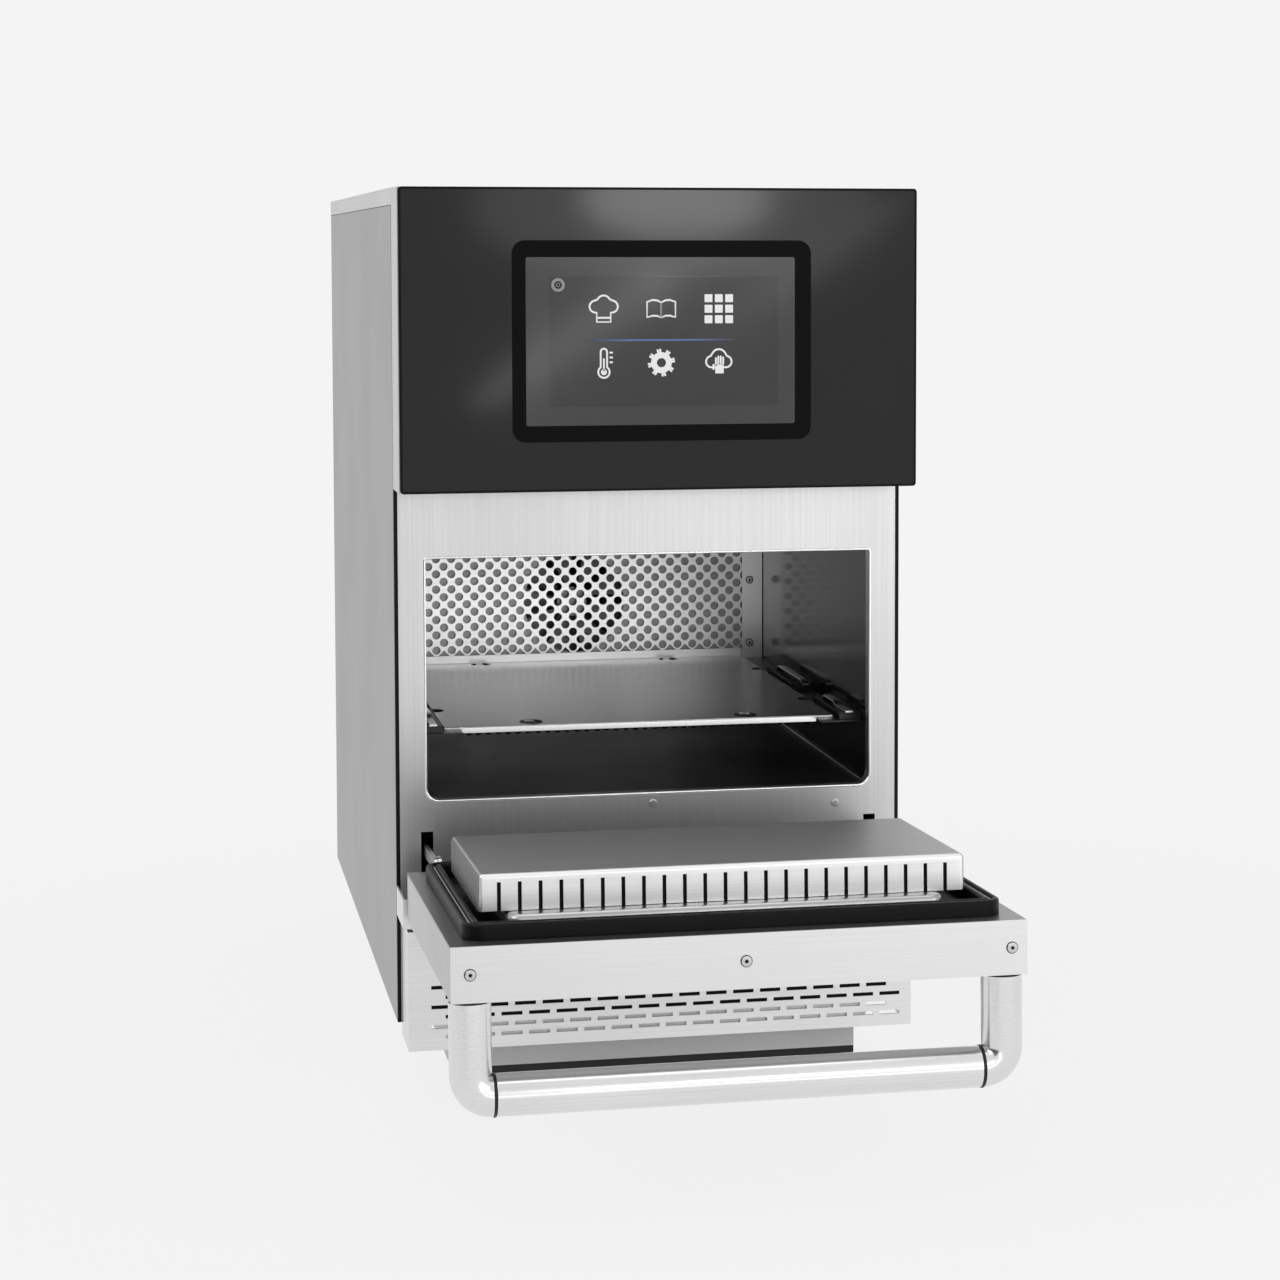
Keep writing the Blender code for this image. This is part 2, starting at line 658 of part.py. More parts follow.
def front_frame():
    """The stainless front: a sheet with the oven opening, its lip, hinge slots and an air intake."""
    half = HALF - SHEET - GAP
    bottom = SIDE_BOTTOM + SHEET + GAP
    top = BODY_HEIGHT - COVER_LIP - GAP
    spans = ((-half, half), (0, FRAME_SHEET), (bottom, top))
    origin = middle(spans)
    frame = block("front_frame", spans, "bright_steel")
    lip_out = SHEET
    outer = rounded((-OPENING_HALF - lip_out, OPENING_HALF + lip_out),
                    (OPENING_BOTTOM - lip_out, OPENING_TOP + lip_out),
                    OPENING_RADIUS + lip_out, 3, OPENING_TOP_RADIUS + lip_out)
    lip = outline_mesh("lip", [outer], (FRAME_SHEET / 2, LIP_DEPTH), "Y")
    lip.transform(Matrix.Translation(-origin))
    shape(frame, lip, "UNION")
    inner = rounded((-OPENING_HALF, OPENING_HALF), (OPENING_BOTTOM, OPENING_TOP),
                    OPENING_RADIUS, 3, OPENING_TOP_RADIUS)
    hole = outline_mesh("opening", [inner], (-OVERRUN, LIP_DEPTH + OVERRUN), "Y")
    hole.transform(Matrix.Translation(-origin))
    shape(frame, hole)
    through = (-OVERRUN, FRAME_SHEET + OVERRUN)
    slots = [((-INTAKE_HALF, INTAKE_HALF), through, (INTAKE_BOTTOM, INTAKE_TOP))]
    for name, side in SIDES:
        slots.append((side_span(side, FRAME_SLOT_SPAN), through, (FRAME_SLOT_BOTTOM, FRAME_SLOT_TOP)))
    shape(frame, blocks_mesh("frame_slots", slots, origin))
    for name, side in SIDES:
        fold = (side_span(side, (half - FRAME_SHEET, half)), (FRAME_SHEET / 2, LIP_DEPTH),
                (bottom + FRAME_SHEET + GAP, top - SHEET - GAP))
        join_block(frame, fold, origin)


def lower_front():
    cover_spans = ((-HALF, HALF), (HEAD_FRONT, -GAP), (COVER_BOTTOM, COVER_TOP))
    inner = ((-HALF + SHEET, HALF - SHEET), (HEAD_FRONT + SHEET, OVERRUN),
             (COVER_BOTTOM + SHEET, COVER_TOP + OVERRUN))
    cover = hollow("hinge_cover", cover_spans, inner, "brushed_steel")
    notches = []
    for name, side in SIDES:
        notches.append((side_span(side, (NOTCH_INNER, NOTCH_OUTER)),
                        (HEAD_FRONT - OVERRUN, HEAD_FRONT + SHEET + OVERRUN),
                        (NOTCH_BOTTOM, COVER_TOP + OVERRUN)))
    shape(cover, blocks_mesh("notches", notches, middle(cover_spans)))
    spans = ((-FILTER_HALF, FILTER_HALF), (HEAD_FRONT, -GAP), (FILTER_BOTTOM, FILTER_TOP))
    inner = ((-FILTER_HALF + SHEET, FILTER_HALF - SHEET), (HEAD_FRONT + SHEET, OVERRUN),
             (FILTER_BOTTOM - OVERRUN, FILTER_TOP - SHEET))
    panel = hollow("filter_panel", spans, inner, "brushed_steel")
    slots = []
    for row in range(SLOT_ROWS):
        low = SLOT_FIRST_ROW + row * SLOT_ROW_PITCH
        for column in range(SLOT_COLUMNS):
            centre = SLOT_SHIFTS[row % 2] + (column - (SLOT_COLUMNS - 1) / 2) * SLOT_PITCH
            left = centre - SLOT_LENGTH / 2
            slots.append(((left, left + SLOT_LENGTH),
                          (HEAD_FRONT - OVERRUN, HEAD_FRONT + SHEET + OVERRUN), (low, low + SLOT_HEIGHT)))
    shape(panel, blocks_mesh("air_slots", slots, middle(spans)))


def control_head():
    glass_back = HEAD_FRONT + GLASS_THICK
    spans = ((-HALF, HALF), (glass_back + GAP, -GAP), (HEAD_BOTTOM, HEAD_TOP))
    inner = ((-HALF + SHEET, HALF - SHEET), (glass_back - OVERRUN, OVERRUN),
             (HEAD_BOTTOM + SHEET, HEAD_TOP - SHEET))
    hollow("control_housing", spans, inner, "grey_paint")
    spans = ((-GLASS_HALF, GLASS_HALF), (HEAD_FRONT, glass_back), (HEAD_BOTTOM, HEAD_TOP))
    glass = block("control_glass", spans, "black_glass")
    bevel(glass, GLASS_EDGE, 2, 60)
    window = rounded(grow(BEZEL_SPAN[0], GAP), grow(BEZEL_SPAN[1], GAP), BEZEL_RADIUS)
    hole = outline_mesh("window", [window], (HEAD_FRONT - OVERRUN, glass_back + OVERRUN), "Y")
    hole.transform(Matrix.Translation(-middle(spans)))
    shape(glass, hole)
    across, up = BEZEL_SPAN
    depth = (HEAD_FRONT - BEZEL_PROUD, glass_back)
    origin = middle((across, depth, up))
    left, right = grow(SCREEN_SPAN[0], GAP)
    low, high = grow(SCREEN_SPAN[1], GAP)
    screen = ((left, low), (right, low), (right, high), (left, high))
    ring = outline_mesh("bezel", [rounded(across, up, BEZEL_RADIUS), screen], depth, "Y")
    ring.transform(Matrix.Translation(-origin))
    smooth(add("screen_bezel", ring, origin, "black_plastic"))
    block("touch_display", (SCREEN_SPAN[0], (HEAD_FRONT, glass_back), SCREEN_SPAN[1]), "display")
    board = (grow(across, -BOARD_INSET / 2), (glass_back + GAP, glass_back + GAP + BOARD_THICK),
             grow(up, -BOARD_INSET / 2))
    block("control_board", board, "circuit_green")


def cavity_box():
    """The oven's cavity as five plates, so that its hollow stays clear on every side but the front."""
    inner = OPENING_HALF + SHEET + GAP
    front = FRAME_SHEET + GAP
    low = CAVITY_FLOOR_TOP - SHEET
    high = CAVITY_ROOF + SHEET
    for name, side in SIDES:
        block("cavity_wall_" + name, (side_span(side, (inner, inner + SHEET)), (front, CAVITY_BACK),
                                      (low, high)), "dark_steel")
    across = grow((-inner, inner), -GAP)
    depth = (front, CAVITY_BACK)
    block("cavity_floor", (across, depth, (low, CAVITY_FLOOR_TOP)), "dark_steel")
    block("cavity_roof", (across, depth, (CAVITY_ROOF, high)), "dark_steel")
    rear = (grow((-inner, inner), SHEET), (CAVITY_BACK + GAP, CAVITY_BACK + GAP + SHEET), (low, high))
    wall = block("cavity_rear_wall", rear, "dark_steel")
    origin = middle(rear)
    holes = [((0, origin.y, FAN_Z), LIP_DEPTH, 2 * SHAFT_RADIUS, 2 * SHAFT_RADIUS)]
    for side in (-1, 1):
        holes.append(((side * HEATER_LEAD_X, origin.y, heater_lead_z()), LIP_DEPTH,
                      HEATER_TUBE + GAP, HEATER_TUBE + GAP))
    shape(wall, rounds_mesh("holes", holes, origin, "Y", 12))


def heater_lead_z():
    return FAN_Z - math.sqrt(HEATER_RADIUS ** 2 - HEATER_LEAD_X ** 2)


def heating_element():
    """A ring round the fan, with its two ends turned back through the rear wall."""
    origin = (0, HEATER_Y, FAN_Z)
    end_angle = math.degrees(math.asin(HEATER_LEAD_X / HEATER_RADIUS))
    start = (-HEATER_LEAD_X, CAVITY_BACK + 2 * LIP_DEPTH, heater_lead_z())
    ring = arc((0, FAN_Z), HEATER_RADIUS, 270 - end_angle, -90 + end_angle, HEATER_STEPS)
    points = [start]
    points.extend((across, HEATER_Y, up) for across, up in ring)
    points.append((HEATER_LEAD_X, start[1], start[2]))
    tube("heating_element", points, HEATER_TUBE, origin, "dark_steel", 1)


def rear_grille():
    """The perforated guard in front of the fan: staggered holes and a plain strip at each end."""
    inner = OPENING_HALF + SHEET + GAP
    spans = (grow((-inner, inner), -GAP), (GRILLE_FRONT, GRILLE_FRONT + SHEET),
             grow((CAVITY_FLOOR_TOP, CAVITY_ROOF), -GAP))
    origin = middle(spans)
    grille = block("rear_grille", spans, "bright_steel")
    holes = []
    for row in range(GRILLE_ROWS):
        count = GRILLE_COLUMNS - row % 2
        up = GRILLE_FIRST_ROW + row * GRILLE_PITCH / 2
        for column in range(count):
            across = (column - (count - 1) / 2) * GRILLE_PITCH
            holes.append(((across, origin.y, up), LIP_DEPTH, GRILLE_HOLE, GRILLE_HOLE))
    shape(grille, rounds_mesh("holes", holes, origin, "Y", 4))


def jet_plate():
    spans = ((-JET_HALF, JET_HALF), JET_SPAN_Y, (CAVITY_ROOF - JET_DEPTH, CAVITY_ROOF - GAP))
    inner = (grow(spans[0], -SHEET), grow(JET_SPAN_Y, -SHEET),
             (spans[2][0] + SHEET, CAVITY_ROOF + OVERRUN))
    plate = hollow("jet_plate", spans, inner, "dark_steel")
    origin = middle(spans)
    holes = []
    for row in range(JET_ROWS):
        for column in range(JET_COLUMNS):
            across = (column - (JET_COLUMNS - 1) / 2) * JET_PITCH
            along = origin.y + (row - (JET_ROWS - 1) / 2) * JET_PITCH
            holes.append(((across, along, spans[2][0]), JET_DEPTH, JET_HOLE, JET_HOLE))
    shape(plate, rounds_mesh("holes", holes, origin, "Z", 6))


def plate_rails():
    wall = OPENING_HALF + SHEET
    ledge_top = PLATE_TOP - FRAME_SHEET - GAP
    for name, side in SIDES:
        spans = (side_span(side, (RAIL_INNER, wall)), (RAIL_FRONT, RAIL_BACK),
                 (ledge_top - SHEET, ledge_top))
        rail = block("plate_rail_" + name, spans, "bright_steel")
        for shares in RAIL_TAB_SHARES:
            tab_ends = [RAIL_FRONT + share * (RAIL_BACK - RAIL_FRONT) for share in shares]
            tab = (side_span(side, (RAIL_TAB_INNER, wall)), tab_ends,
                   (ledge_top - SHEET / 2, RAIL_TAB_TOP))
            join_block(rail, tab, middle(spans))


def cook_plate():
    spans = ((-PLATE_HALF, PLATE_HALF), (PLATE_FRONT, PLATE_BACK), (PLATE_TOP - FRAME_SHEET, PLATE_TOP))
    origin = middle(spans)
    plate = block("cook_plate", spans, "cast_grey")
    fold = (grow((-RAIL_INNER, RAIL_INNER), -FRAME_SHEET), (PLATE_FRONT, PLATE_FRONT + FRAME_SHEET),
            (PLATE_TOP - PLATE_FLANGE, PLATE_TOP - FRAME_SHEET / 2))
    join_block(plate, fold, origin)
    notches = []
    centres = [(PLATE_HALF * NOTCH_FRONT_SHARE, PLATE_FRONT + NOTCH_EDGE),
               (PLATE_HALF * NOTCH_FRONT_SHARE, PLATE_BACK - NOTCH_EDGE)]
    for share in NOTCH_SIDE_SHARES:
        centres.append((PLATE_HALF, PLATE_FRONT + share * (PLATE_BACK - PLATE_FRONT)))
    for across, along in centres:
        for side in (-1, 1):
            notches.append(((side * across, along, PLATE_TOP), 3 * PLATE_FLANGE,
                            PLATE_NOTCH, PLATE_NOTCH))
    shape(plate, rounds_mesh("notches", notches, origin, "Z", 20))


def wheel(name, centre, span_y, radius, hub_radius, blades, lean, finish, disc=None):
    """A fan wheel that turns about an axis along Y: a hub, an optional disc and leaning blades."""
    depth = span_y[1] - span_y[0]
    hub = (Vector((centre[0], (span_y[0] + span_y[1]) / 2, centre[1])), depth, hub_radius, hub_radius)
    origin = Vector(hub[0])
    piece = add(name, rounds_mesh("hub", [hub], origin, "Y", 16), origin, finish)
    mesh = bpy.data.meshes.new("blades")
    work = bmesh.new()
    inner = hub_radius * 0.6
    for count in range(blades):
        turn = Matrix.Rotation(math.tau * count / blades, 4, "Y")
        size = Matrix.Diagonal((radius - inner, depth * 0.8, BLADE_THICK, 1))
        out = Matrix.Translation(((radius + inner) / 2, 0, 0))
        bmesh.ops.create_cube(work, size=1, matrix=turn @ out @ Matrix.Rotation(lean, 4, "X") @ size)
    work.to_mesh(mesh)
    work.free()
    change = shape(piece, mesh, "UNION")
    change.use_self = True
    if disc:
        back = (Vector((centre[0], disc, centre[1])), SHEET, radius * 0.96, radius * 0.96)
        shape(piece, rounds_mesh("disc", [back], origin, "Y", 28), "UNION")
    return piece


def convection():
    fan = wheel("convection_fan", (0, FAN_Z), (FAN_FRONT, FAN_BACK), FAN_RADIUS, FAN_HUB_RADIUS,
                FAN_BLADES, math.radians(18), "bright_steel", FAN_BACK - 2 * SHEET)
    origin = Vector((0, (FAN_FRONT + FAN_BACK) / 2, FAN_Z))
    motor_face = CAVITY_BACK + 2 * GAP + SHEET
    length = motor_face - GAP - origin.y
    shaft = ((0, origin.y + length / 2, FAN_Z), length, SHAFT_RADIUS, SHAFT_RADIUS)
    shape(fan, rounds_mesh("shaft", [shaft], origin, "Y", 12), "UNION")
    centre = (0, motor_face + MOTOR_LENGTH / 2, FAN_Z)
    body = (centre, MOTOR_LENGTH, MOTOR_RADIUS, MOTOR_RADIUS)
    motor = add("convection_motor", rounds_mesh("motor", [body], centre, "Y", 24), centre, "cast_grey")
    smooth(motor)


def microwave_source():
    low = CAVITY_ROOF + SHEET + GAP
    high = low + WAVEGUIDE_HEIGHT
    spans = (*WAVEGUIDE_SPAN, (low, high))
    inner = (grow(WAVEGUIDE_SPAN[0], -FRAME_SHEET), grow(WAVEGUIDE_SPAN[1], -FRAME_SHEET),
             (low - OVERRUN, high - FRAME_SHEET))
    hollow("waveguide", spans, inner, "bright_steel")
    spans = (*MAGNETRON_SPAN, (high + GAP, high + GAP + MAGNETRON_HEIGHT))
    source = block("magnetron", spans, "cast_grey")
    slots = []
    pitch = MAGNETRON_HEIGHT / (MAGNETRON_FINS + 1)
    for count in range(MAGNETRON_FINS):
        middle_z = spans[2][0] + pitch * (count + 1)
        for side in (-1, 1):
            slots.append((side_span(side, (MAGNETRON_SPAN[0][1] * 0.55, MAGNETRON_SPAN[0][1] + OVERRUN)),
                          grow(MAGNETRON_SPAN[1], OVERRUN), (middle_z - pitch / 4, middle_z + pitch / 4)))
    shape(source, blocks_mesh("fins", slots, middle(spans)))


def power_supply():
    low = SIDE_BOTTOM + SHEET + 2 * GAP + FRAME_SHEET
    spans = (*SUPPLY_SPAN, (low, low + SUPPLY_HEIGHT))
    supply = block("power_supply", spans, "circuit_green")
    coil = (*COIL_SPAN, (low + SUPPLY_HEIGHT / 2, low + SUPPLY_HEIGHT + COIL_HEIGHT))
    join_block(supply, coil, middle(spans))


def cooling():
    low = SIDE_BOTTOM + SHEET + 2 * GAP + FRAME_SHEET
    centre_z = low + COOLER_HALF
    spans = ((-COOLER_HALF, COOLER_HALF), (COOLER_FRONT, COOLER_BACK), (low, low + 2 * COOLER_HALF))
    housing = block("cooling_fan_housing", spans, "black_plastic")
    origin = middle(spans)
    bore = (origin, COOLER_BACK - COOLER_FRONT + OVERRUN, COOLER_RADIUS, COOLER_RADIUS)
    shape(housing, rounds_mesh("bore", [bore], origin, "Y", 32))
    bar = ((-COOLER_HALF, COOLER_HALF), (COOLER_BACK - 2 * SHEET, COOLER_BACK),
           (centre_z - COOLER_BAR, centre_z + COOLER_BAR))
    join_block(housing, bar, origin)
    wheel("cooling_fan", (0, centre_z), (COOLER_FRONT + SHEET, COOLER_BACK - 2 * SHEET - GAP),
          COOLER_RADIUS - FRAME_SHEET, COOLER_HUB_RADIUS, COOLER_BLADES, math.radians(42),
          "black_plastic")


def door_shell():
    edge = DOOR_TOP - SHEET
    outer = ((-DOOR_HALF, DOOR_HALF), (DOOR_FRONT, DOOR_BACK - SHEET - GAP), (DOOR_BOTTOM, edge - GAP))
    inner = (grow(outer[0], -SHEET), (DOOR_FRONT + SHEET, DOOR_BACK),
             (DOOR_BOTTOM + SHEET, DOOR_TOP))
    hollow("door_outer_skin", outer, inner, "brushed_steel", DOOR_PIVOT, SHEET * 0.6)
    panel = (outer[0], (DOOR_BACK - SHEET, DOOR_BACK), outer[2])
    block("door_inner_panel", panel, "bright_steel", DOOR_PIVOT)
    block("door_edge_cap", (outer[0], (DOOR_FRONT, DOOR_BACK), (edge, DOOR_TOP)),
          "brushed_steel", DOOR_PIVOT)
    lining = (grow(outer[0], -3 * SHEET), (DOOR_FRONT + SHEET + GAP, DOOR_BACK - SHEET - GAP),
              (DOOR_BOTTOM + 3 * SHEET, edge - 3 * SHEET))
    block("door_insulation", lining, "grey_paint", DOOR_PIVOT)


def door_gasket():
    """A silicone frame with two ridges and a groove between them."""
    base = (DOOR_BACK + GAP, GASKET_BACK - GASKET_RIDGE_LOW)
    across = (-GASKET_HALF, GASKET_HALF)
    up = (GASKET_BOTTOM, GASKET_TOP)
    hole_across = (-GASKET_INNER_HALF, GASKET_INNER_HALF)
    hole_up = grow(up, -GASKET_WIDTH)
    origin = middle((across, (DOOR_BACK, GASKET_BACK), up))
    flat = outline_mesh("gasket", [rounded(across, up, GASKET_WIDTH * 1.3, 3),
                                   rounded(hole_across, hole_up, GASKET_WIDTH, 3)], base, "Y")
    flat.transform(Matrix.Translation(-origin))
    gasket = add("door_gasket", flat, origin, "black_rubber", DOOR_PIVOT)
    top = (base[1] - GAP, GASKET_BACK)
    width = (GASKET_HALF - GASKET_INNER_HALF) / GASKET_WIDTH
    corner = GASKET_WIDTH * 1.3
    bands = ((0, GASKET_RIDGE_WIDTH), (GASKET_WIDTH - GASKET_RIDGE_WIDTH, GASKET_WIDTH))
    for band in bands:
        edges = []
        for inset in band:
            edges.append(rounded(grow(across, -inset * width), grow(up, -inset), corner - inset * 0.3, 3))
        ring = outline_mesh("ridge", edges, top, "Y")
        ring.transform(Matrix.Translation(-origin))
        shape(gasket, ring, "UNION")


def door_pan():
    across = (-PAN_HALF, PAN_HALF)
    up = (PAN_BOTTOM, PAN_TOP)
    depth = (DOOR_BACK + GAP, PAN_BACK)
    origin = middle((across, depth, up))
    body = outline_mesh("pan", [rounded(across, up, PAN_RADIUS, 4)], depth, "Y")
    body.transform(Matrix.Translation(-origin))
    pan = smooth(add("door_pan", body, origin, "bright_steel", DOOR_PIVOT))
    pocket = outline_mesh("pocket", [rounded(grow(across, -SHEET), grow(up, -SHEET), PAN_RADIUS - SHEET, 4)],
                          (DOOR_BACK - OVERRUN, PAN_BACK - SHEET), "Y")
    pocket.transform(Matrix.Translation(-origin))
    shape(pan, pocket)


def choke_plug():
    """The slotted box that enters the opening: a brushed plate with a comb of fingers on each side."""
    spans = ((-PLUG_HALF, PLUG_HALF), (PAN_BACK + GAP, PLUG_BACK), (PLUG_BOTTOM, PLUG_TOP))
    inner = (grow(spans[0], -SHEET), (PAN_BACK - OVERRUN, PLUG_BACK - SHEET), grow(spans[2], -SHEET))
    plug = hollow("choke_plug", spans, inner, "brushed_steel", DOOR_PIVOT)
    origin = middle(spans)
    depth = (PAN_BACK - OVERRUN, PLUG_BACK - PLUG_SLOT_START)
    tall = []
    for count in range(PLUG_SLOTS_WIDE):
        centre = (count - (PLUG_SLOTS_WIDE - 1) / 2) * PLUG_SLOT_PITCH
        tall.append((grow((centre, centre), PLUG_SLOT / 2), depth, grow(spans[2], OVERRUN)))
    wide = []
    for count in range(PLUG_SLOTS_TALL):
        centre = origin.z + (count - (PLUG_SLOTS_TALL - 1) / 2) * PLUG_SLOT_PITCH
        for side in (-1, 1):
            wide.append((side_span(side, grow((PLUG_HALF - SHEET, PLUG_HALF), SHEET)), depth,
                         grow((centre, centre), PLUG_SLOT / 2)))
    shape(plug, blocks_mesh("wide_slots", wide, origin))
    shape(plug, blocks_mesh("tall_slots", tall, origin))


def handle():
    """A tube on two arms, with round corners and a dark ring at each end of the bar."""
    axis_z = DOOR_TOP - HANDLE_BELOW_TOP
    axis_y = DOOR_FRONT - HANDLE_STANDOFF
    bar_half = RING_X - RING_LENGTH / 2 - GAP
    centre = (0, axis_y, axis_z)
    bar = (centre, 2 * bar_half, TUBE_RADIUS, TUBE_RADIUS)
    smooth(add("handle_bar", rounds_mesh("bar", [bar], centre, "X", 24), centre, "bright_steel", DOOR_PIVOT))
    for name, side in SIDES:
        centre = (side * RING_X, axis_y, axis_z)
        ring = (centre, RING_LENGTH, RING_RADIUS, RING_RADIUS)
        smooth(add("handle_ring_" + name, rounds_mesh("ring", [ring], centre, "X", 24), centre,
                   "black_plastic", DOOR_PIVOT))
        handle_arm(name, side, axis_y, axis_z)


def handle_arm(name, side, axis_y, axis_z):
    """A post that stands out from the door and bends round into the bar's line."""
    origin = Vector((side * HANDLE_X, axis_y, axis_z))
    points = [(origin.x, DOOR_FRONT - GAP, axis_z)]
    for out, back in arc((0, 0), HANDLE_BEND, 0, -90, BEND_STEPS):
        points.append((side * (HANDLE_X - HANDLE_BEND + out), axis_y + HANDLE_BEND + back, axis_z))
    points.append((side * (HANDLE_X - HANDLE_BEND - HANDLE_RUN), axis_y, axis_z))
    tube("handle_arm_" + name, points, TUBE_RADIUS, origin, "bright_steel", 10, DOOR_PIVOT)


def eye_plate(outline, hole_centre, hole_radius, span):
    hole = arc(hole_centre, hole_radius, 0, 360, 12)[:-1]
    return outline_mesh("eye_plate", [outline, hole], span, "X")


def hinges():
    for name, side in SIDES:
        hinge_bracket(name, side)
        hinge_arm(name, side)
        stay_link(name, side)
        hinge_cassette(name, side)


def hinge_bracket(name, side):
    """The fixed half of a hinge: a lug that stands out from the frame, and its pin."""
    span = side_span(side, BRACKET_SPAN)
    origin = Vector((sum(span) / 2, HINGE_Y, HINGE_Z))
    outline = arc((0, 0), EYE_RADIUS, 90, 270, 8)
    reach = -GAP - HINGE_Y
    outline.extend(((reach, -EYE_RADIUS), (reach, EYE_RADIUS)))
    flat = eye_plate(outline, (0, 0), HINGE_PIN_RADIUS + GAP, (span[0] - origin.x, span[1] - origin.x))
    bracket = add("hinge_bracket_" + name, flat, origin, "bright_steel")
    foot = (side_span(side, (BRACKET_SPAN[0] - BRACKET_FOOT, BRACKET_SPAN[0] + FOOT_DEPTH)),
            (-GAP - FOOT_DEPTH, -GAP), (HINGE_Z - EYE_RADIUS, HINGE_Z + EYE_RADIUS))
    join_block(bracket, foot, origin)
    pin_span = side_span(side, (BRACKET_SPAN[0] - FOOT_DEPTH / 2, ARM_SPAN[1] + FOOT_DEPTH / 2))
    centre = Vector((sum(pin_span) / 2, HINGE_Y, HINGE_Z))
    pin = (centre, pin_span[1] - pin_span[0], HINGE_PIN_RADIUS, HINGE_PIN_RADIUS)
    smooth(add("hinge_pin_" + name, rounds_mesh("pin", [pin], centre, "X", 12), centre, "bright_steel"))


def hinge_arm(name, side):
    """The moving half: an eye round the pin, a web under the door's edge and a lug for the stay."""
    span = side_span(side, ARM_SPAN)
    origin = Vector((sum(span) / 2, HINGE_Y, HINGE_Z))
    web_top = DOOR_BOTTOM - GAP - HINGE_Z
    lug = (LUG_Y - HINGE_Y, LUG_Z - HINGE_Z)
    outline = [(-EYE_RADIUS * 0.6, web_top), (-EYE_RADIUS, 0)]
    outline.extend(arc((0, 0), EYE_RADIUS, 200, 300, 5))
    outline.append((lug[0] - LUG_RADIUS * 0.4, web_top - LUG_RADIUS))
    outline.append((lug[0] + LUG_RADIUS, web_top + LUG_RADIUS * 0.5))
    outline.extend(arc(lug, LUG_RADIUS, 0, 180, 6))
    outline.append((lug[0] - LUG_RADIUS, web_top))
    hole = arc((0, 0), HINGE_PIN_RADIUS + GAP, 0, 360, 12)[:-1]
    flat = outline_mesh("arm", [outline, hole], (span[0] - origin.x, span[1] - origin.x), "X")
    arm = add("hinge_arm_" + name, flat, origin, "bright_steel", DOOR_PIVOT)
    pin_span = side_span(side, (ARM_SPAN[0] + FOOT_DEPTH / 2, LINK_SPAN[1] + FOOT_DEPTH / 3))
    centre = (sum(pin_span) / 2, LUG_Y, LUG_Z)
    pin = (centre, pin_span[1] - pin_span[0], STAY_PIN_RADIUS, STAY_PIN_RADIUS)
    shape(arm, rounds_mesh("stay_pin", [pin], origin, "X", 10), "UNION")


def stay_link(name, side):
    """A flat bar that hangs on the arm's pin and runs through the frame into the cassette."""
    span = side_span(side, LINK_SPAN)
    origin = Vector((sum(span) / 2, LUG_Y, LUG_Z))
    outline = arc((0, 0), LINK_RADIUS, 90, 270, 6)
    outline.extend(arc((LINK_LENGTH, 0), LINK_RADIUS, -90, 90, 6))
    flat = eye_plate(outline, (0, 0), STAY_PIN_RADIUS + GAP, (span[0] - origin.x, span[1] - origin.x))
    link = add("stay_link_" + name, flat, origin, "bright_steel", DOOR_PIVOT)
    link.rotation_euler = (LINK_TILT_OPEN - DOOR_OPEN, 0, 0)


def hinge_cassette(name, side):
    spans = (side_span(side, CASSETTE_SPAN), (FRAME_SHEET + GAP, CASSETTE_BACK),
             (CASSETTE_BOTTOM, CASSETTE_TOP))
    inner = (side_span(side, grow(CASSETTE_SPAN, -SHEET)), (FRAME_SHEET - OVERRUN, CASSETTE_BACK - SHEET),
             grow(spans[2], -SHEET))
    hollow("hinge_cassette_" + name, spans, inner, "bright_steel")


def build():
    base()
    side_panels()
    top_cover()
    rear_panel()
    cord_gland()
    front_frame()
    lower_front()
    control_head()
    cavity_box()
    rear_grille()
    jet_plate()
    plate_rails()
    cook_plate()
    convection()
    heating_element()
    microwave_source()
    power_supply()
    cooling()
    door_shell()
    door_gasket()
    door_pan()
    choke_plug()
    handle()
    hinges()


build()
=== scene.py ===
# %% [markdown]
# A countertop speed oven, dressed for a studio picture. The imported model is loaded first as a fixed
# frame: each of its nodes stays where it is, and gets either a better finish or a finer piece in
# its place.

# %% Load the frame
import math
import bpy
from mathutils import Matrix, Vector


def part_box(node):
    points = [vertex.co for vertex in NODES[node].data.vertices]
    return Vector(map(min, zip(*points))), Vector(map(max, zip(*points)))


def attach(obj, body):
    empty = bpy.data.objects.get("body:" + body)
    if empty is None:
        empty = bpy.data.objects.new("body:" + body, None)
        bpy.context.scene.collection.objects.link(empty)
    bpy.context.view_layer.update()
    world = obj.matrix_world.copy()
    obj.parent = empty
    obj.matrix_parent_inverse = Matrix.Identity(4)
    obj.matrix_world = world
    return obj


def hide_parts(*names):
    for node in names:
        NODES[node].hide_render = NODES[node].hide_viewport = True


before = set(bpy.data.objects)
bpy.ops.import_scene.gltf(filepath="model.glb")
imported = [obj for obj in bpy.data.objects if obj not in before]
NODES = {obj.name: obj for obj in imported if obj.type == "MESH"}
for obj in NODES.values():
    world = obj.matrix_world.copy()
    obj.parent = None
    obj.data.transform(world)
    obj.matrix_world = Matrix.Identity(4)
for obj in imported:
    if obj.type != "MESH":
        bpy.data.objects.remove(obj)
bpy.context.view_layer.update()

SIGN = {"left": -1, "right": 1}
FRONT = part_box("front_frame")[0].y
print("frame loaded:", len(NODES), "nodes, front frame at y =", round(FRONT, 4))

# %% [markdown]
# The camera stands to the left of the oven and a little above its top, far away with a long lens,
# so upright edges stay nearly upright. A small lens shift moves the picture without turning the
# camera.

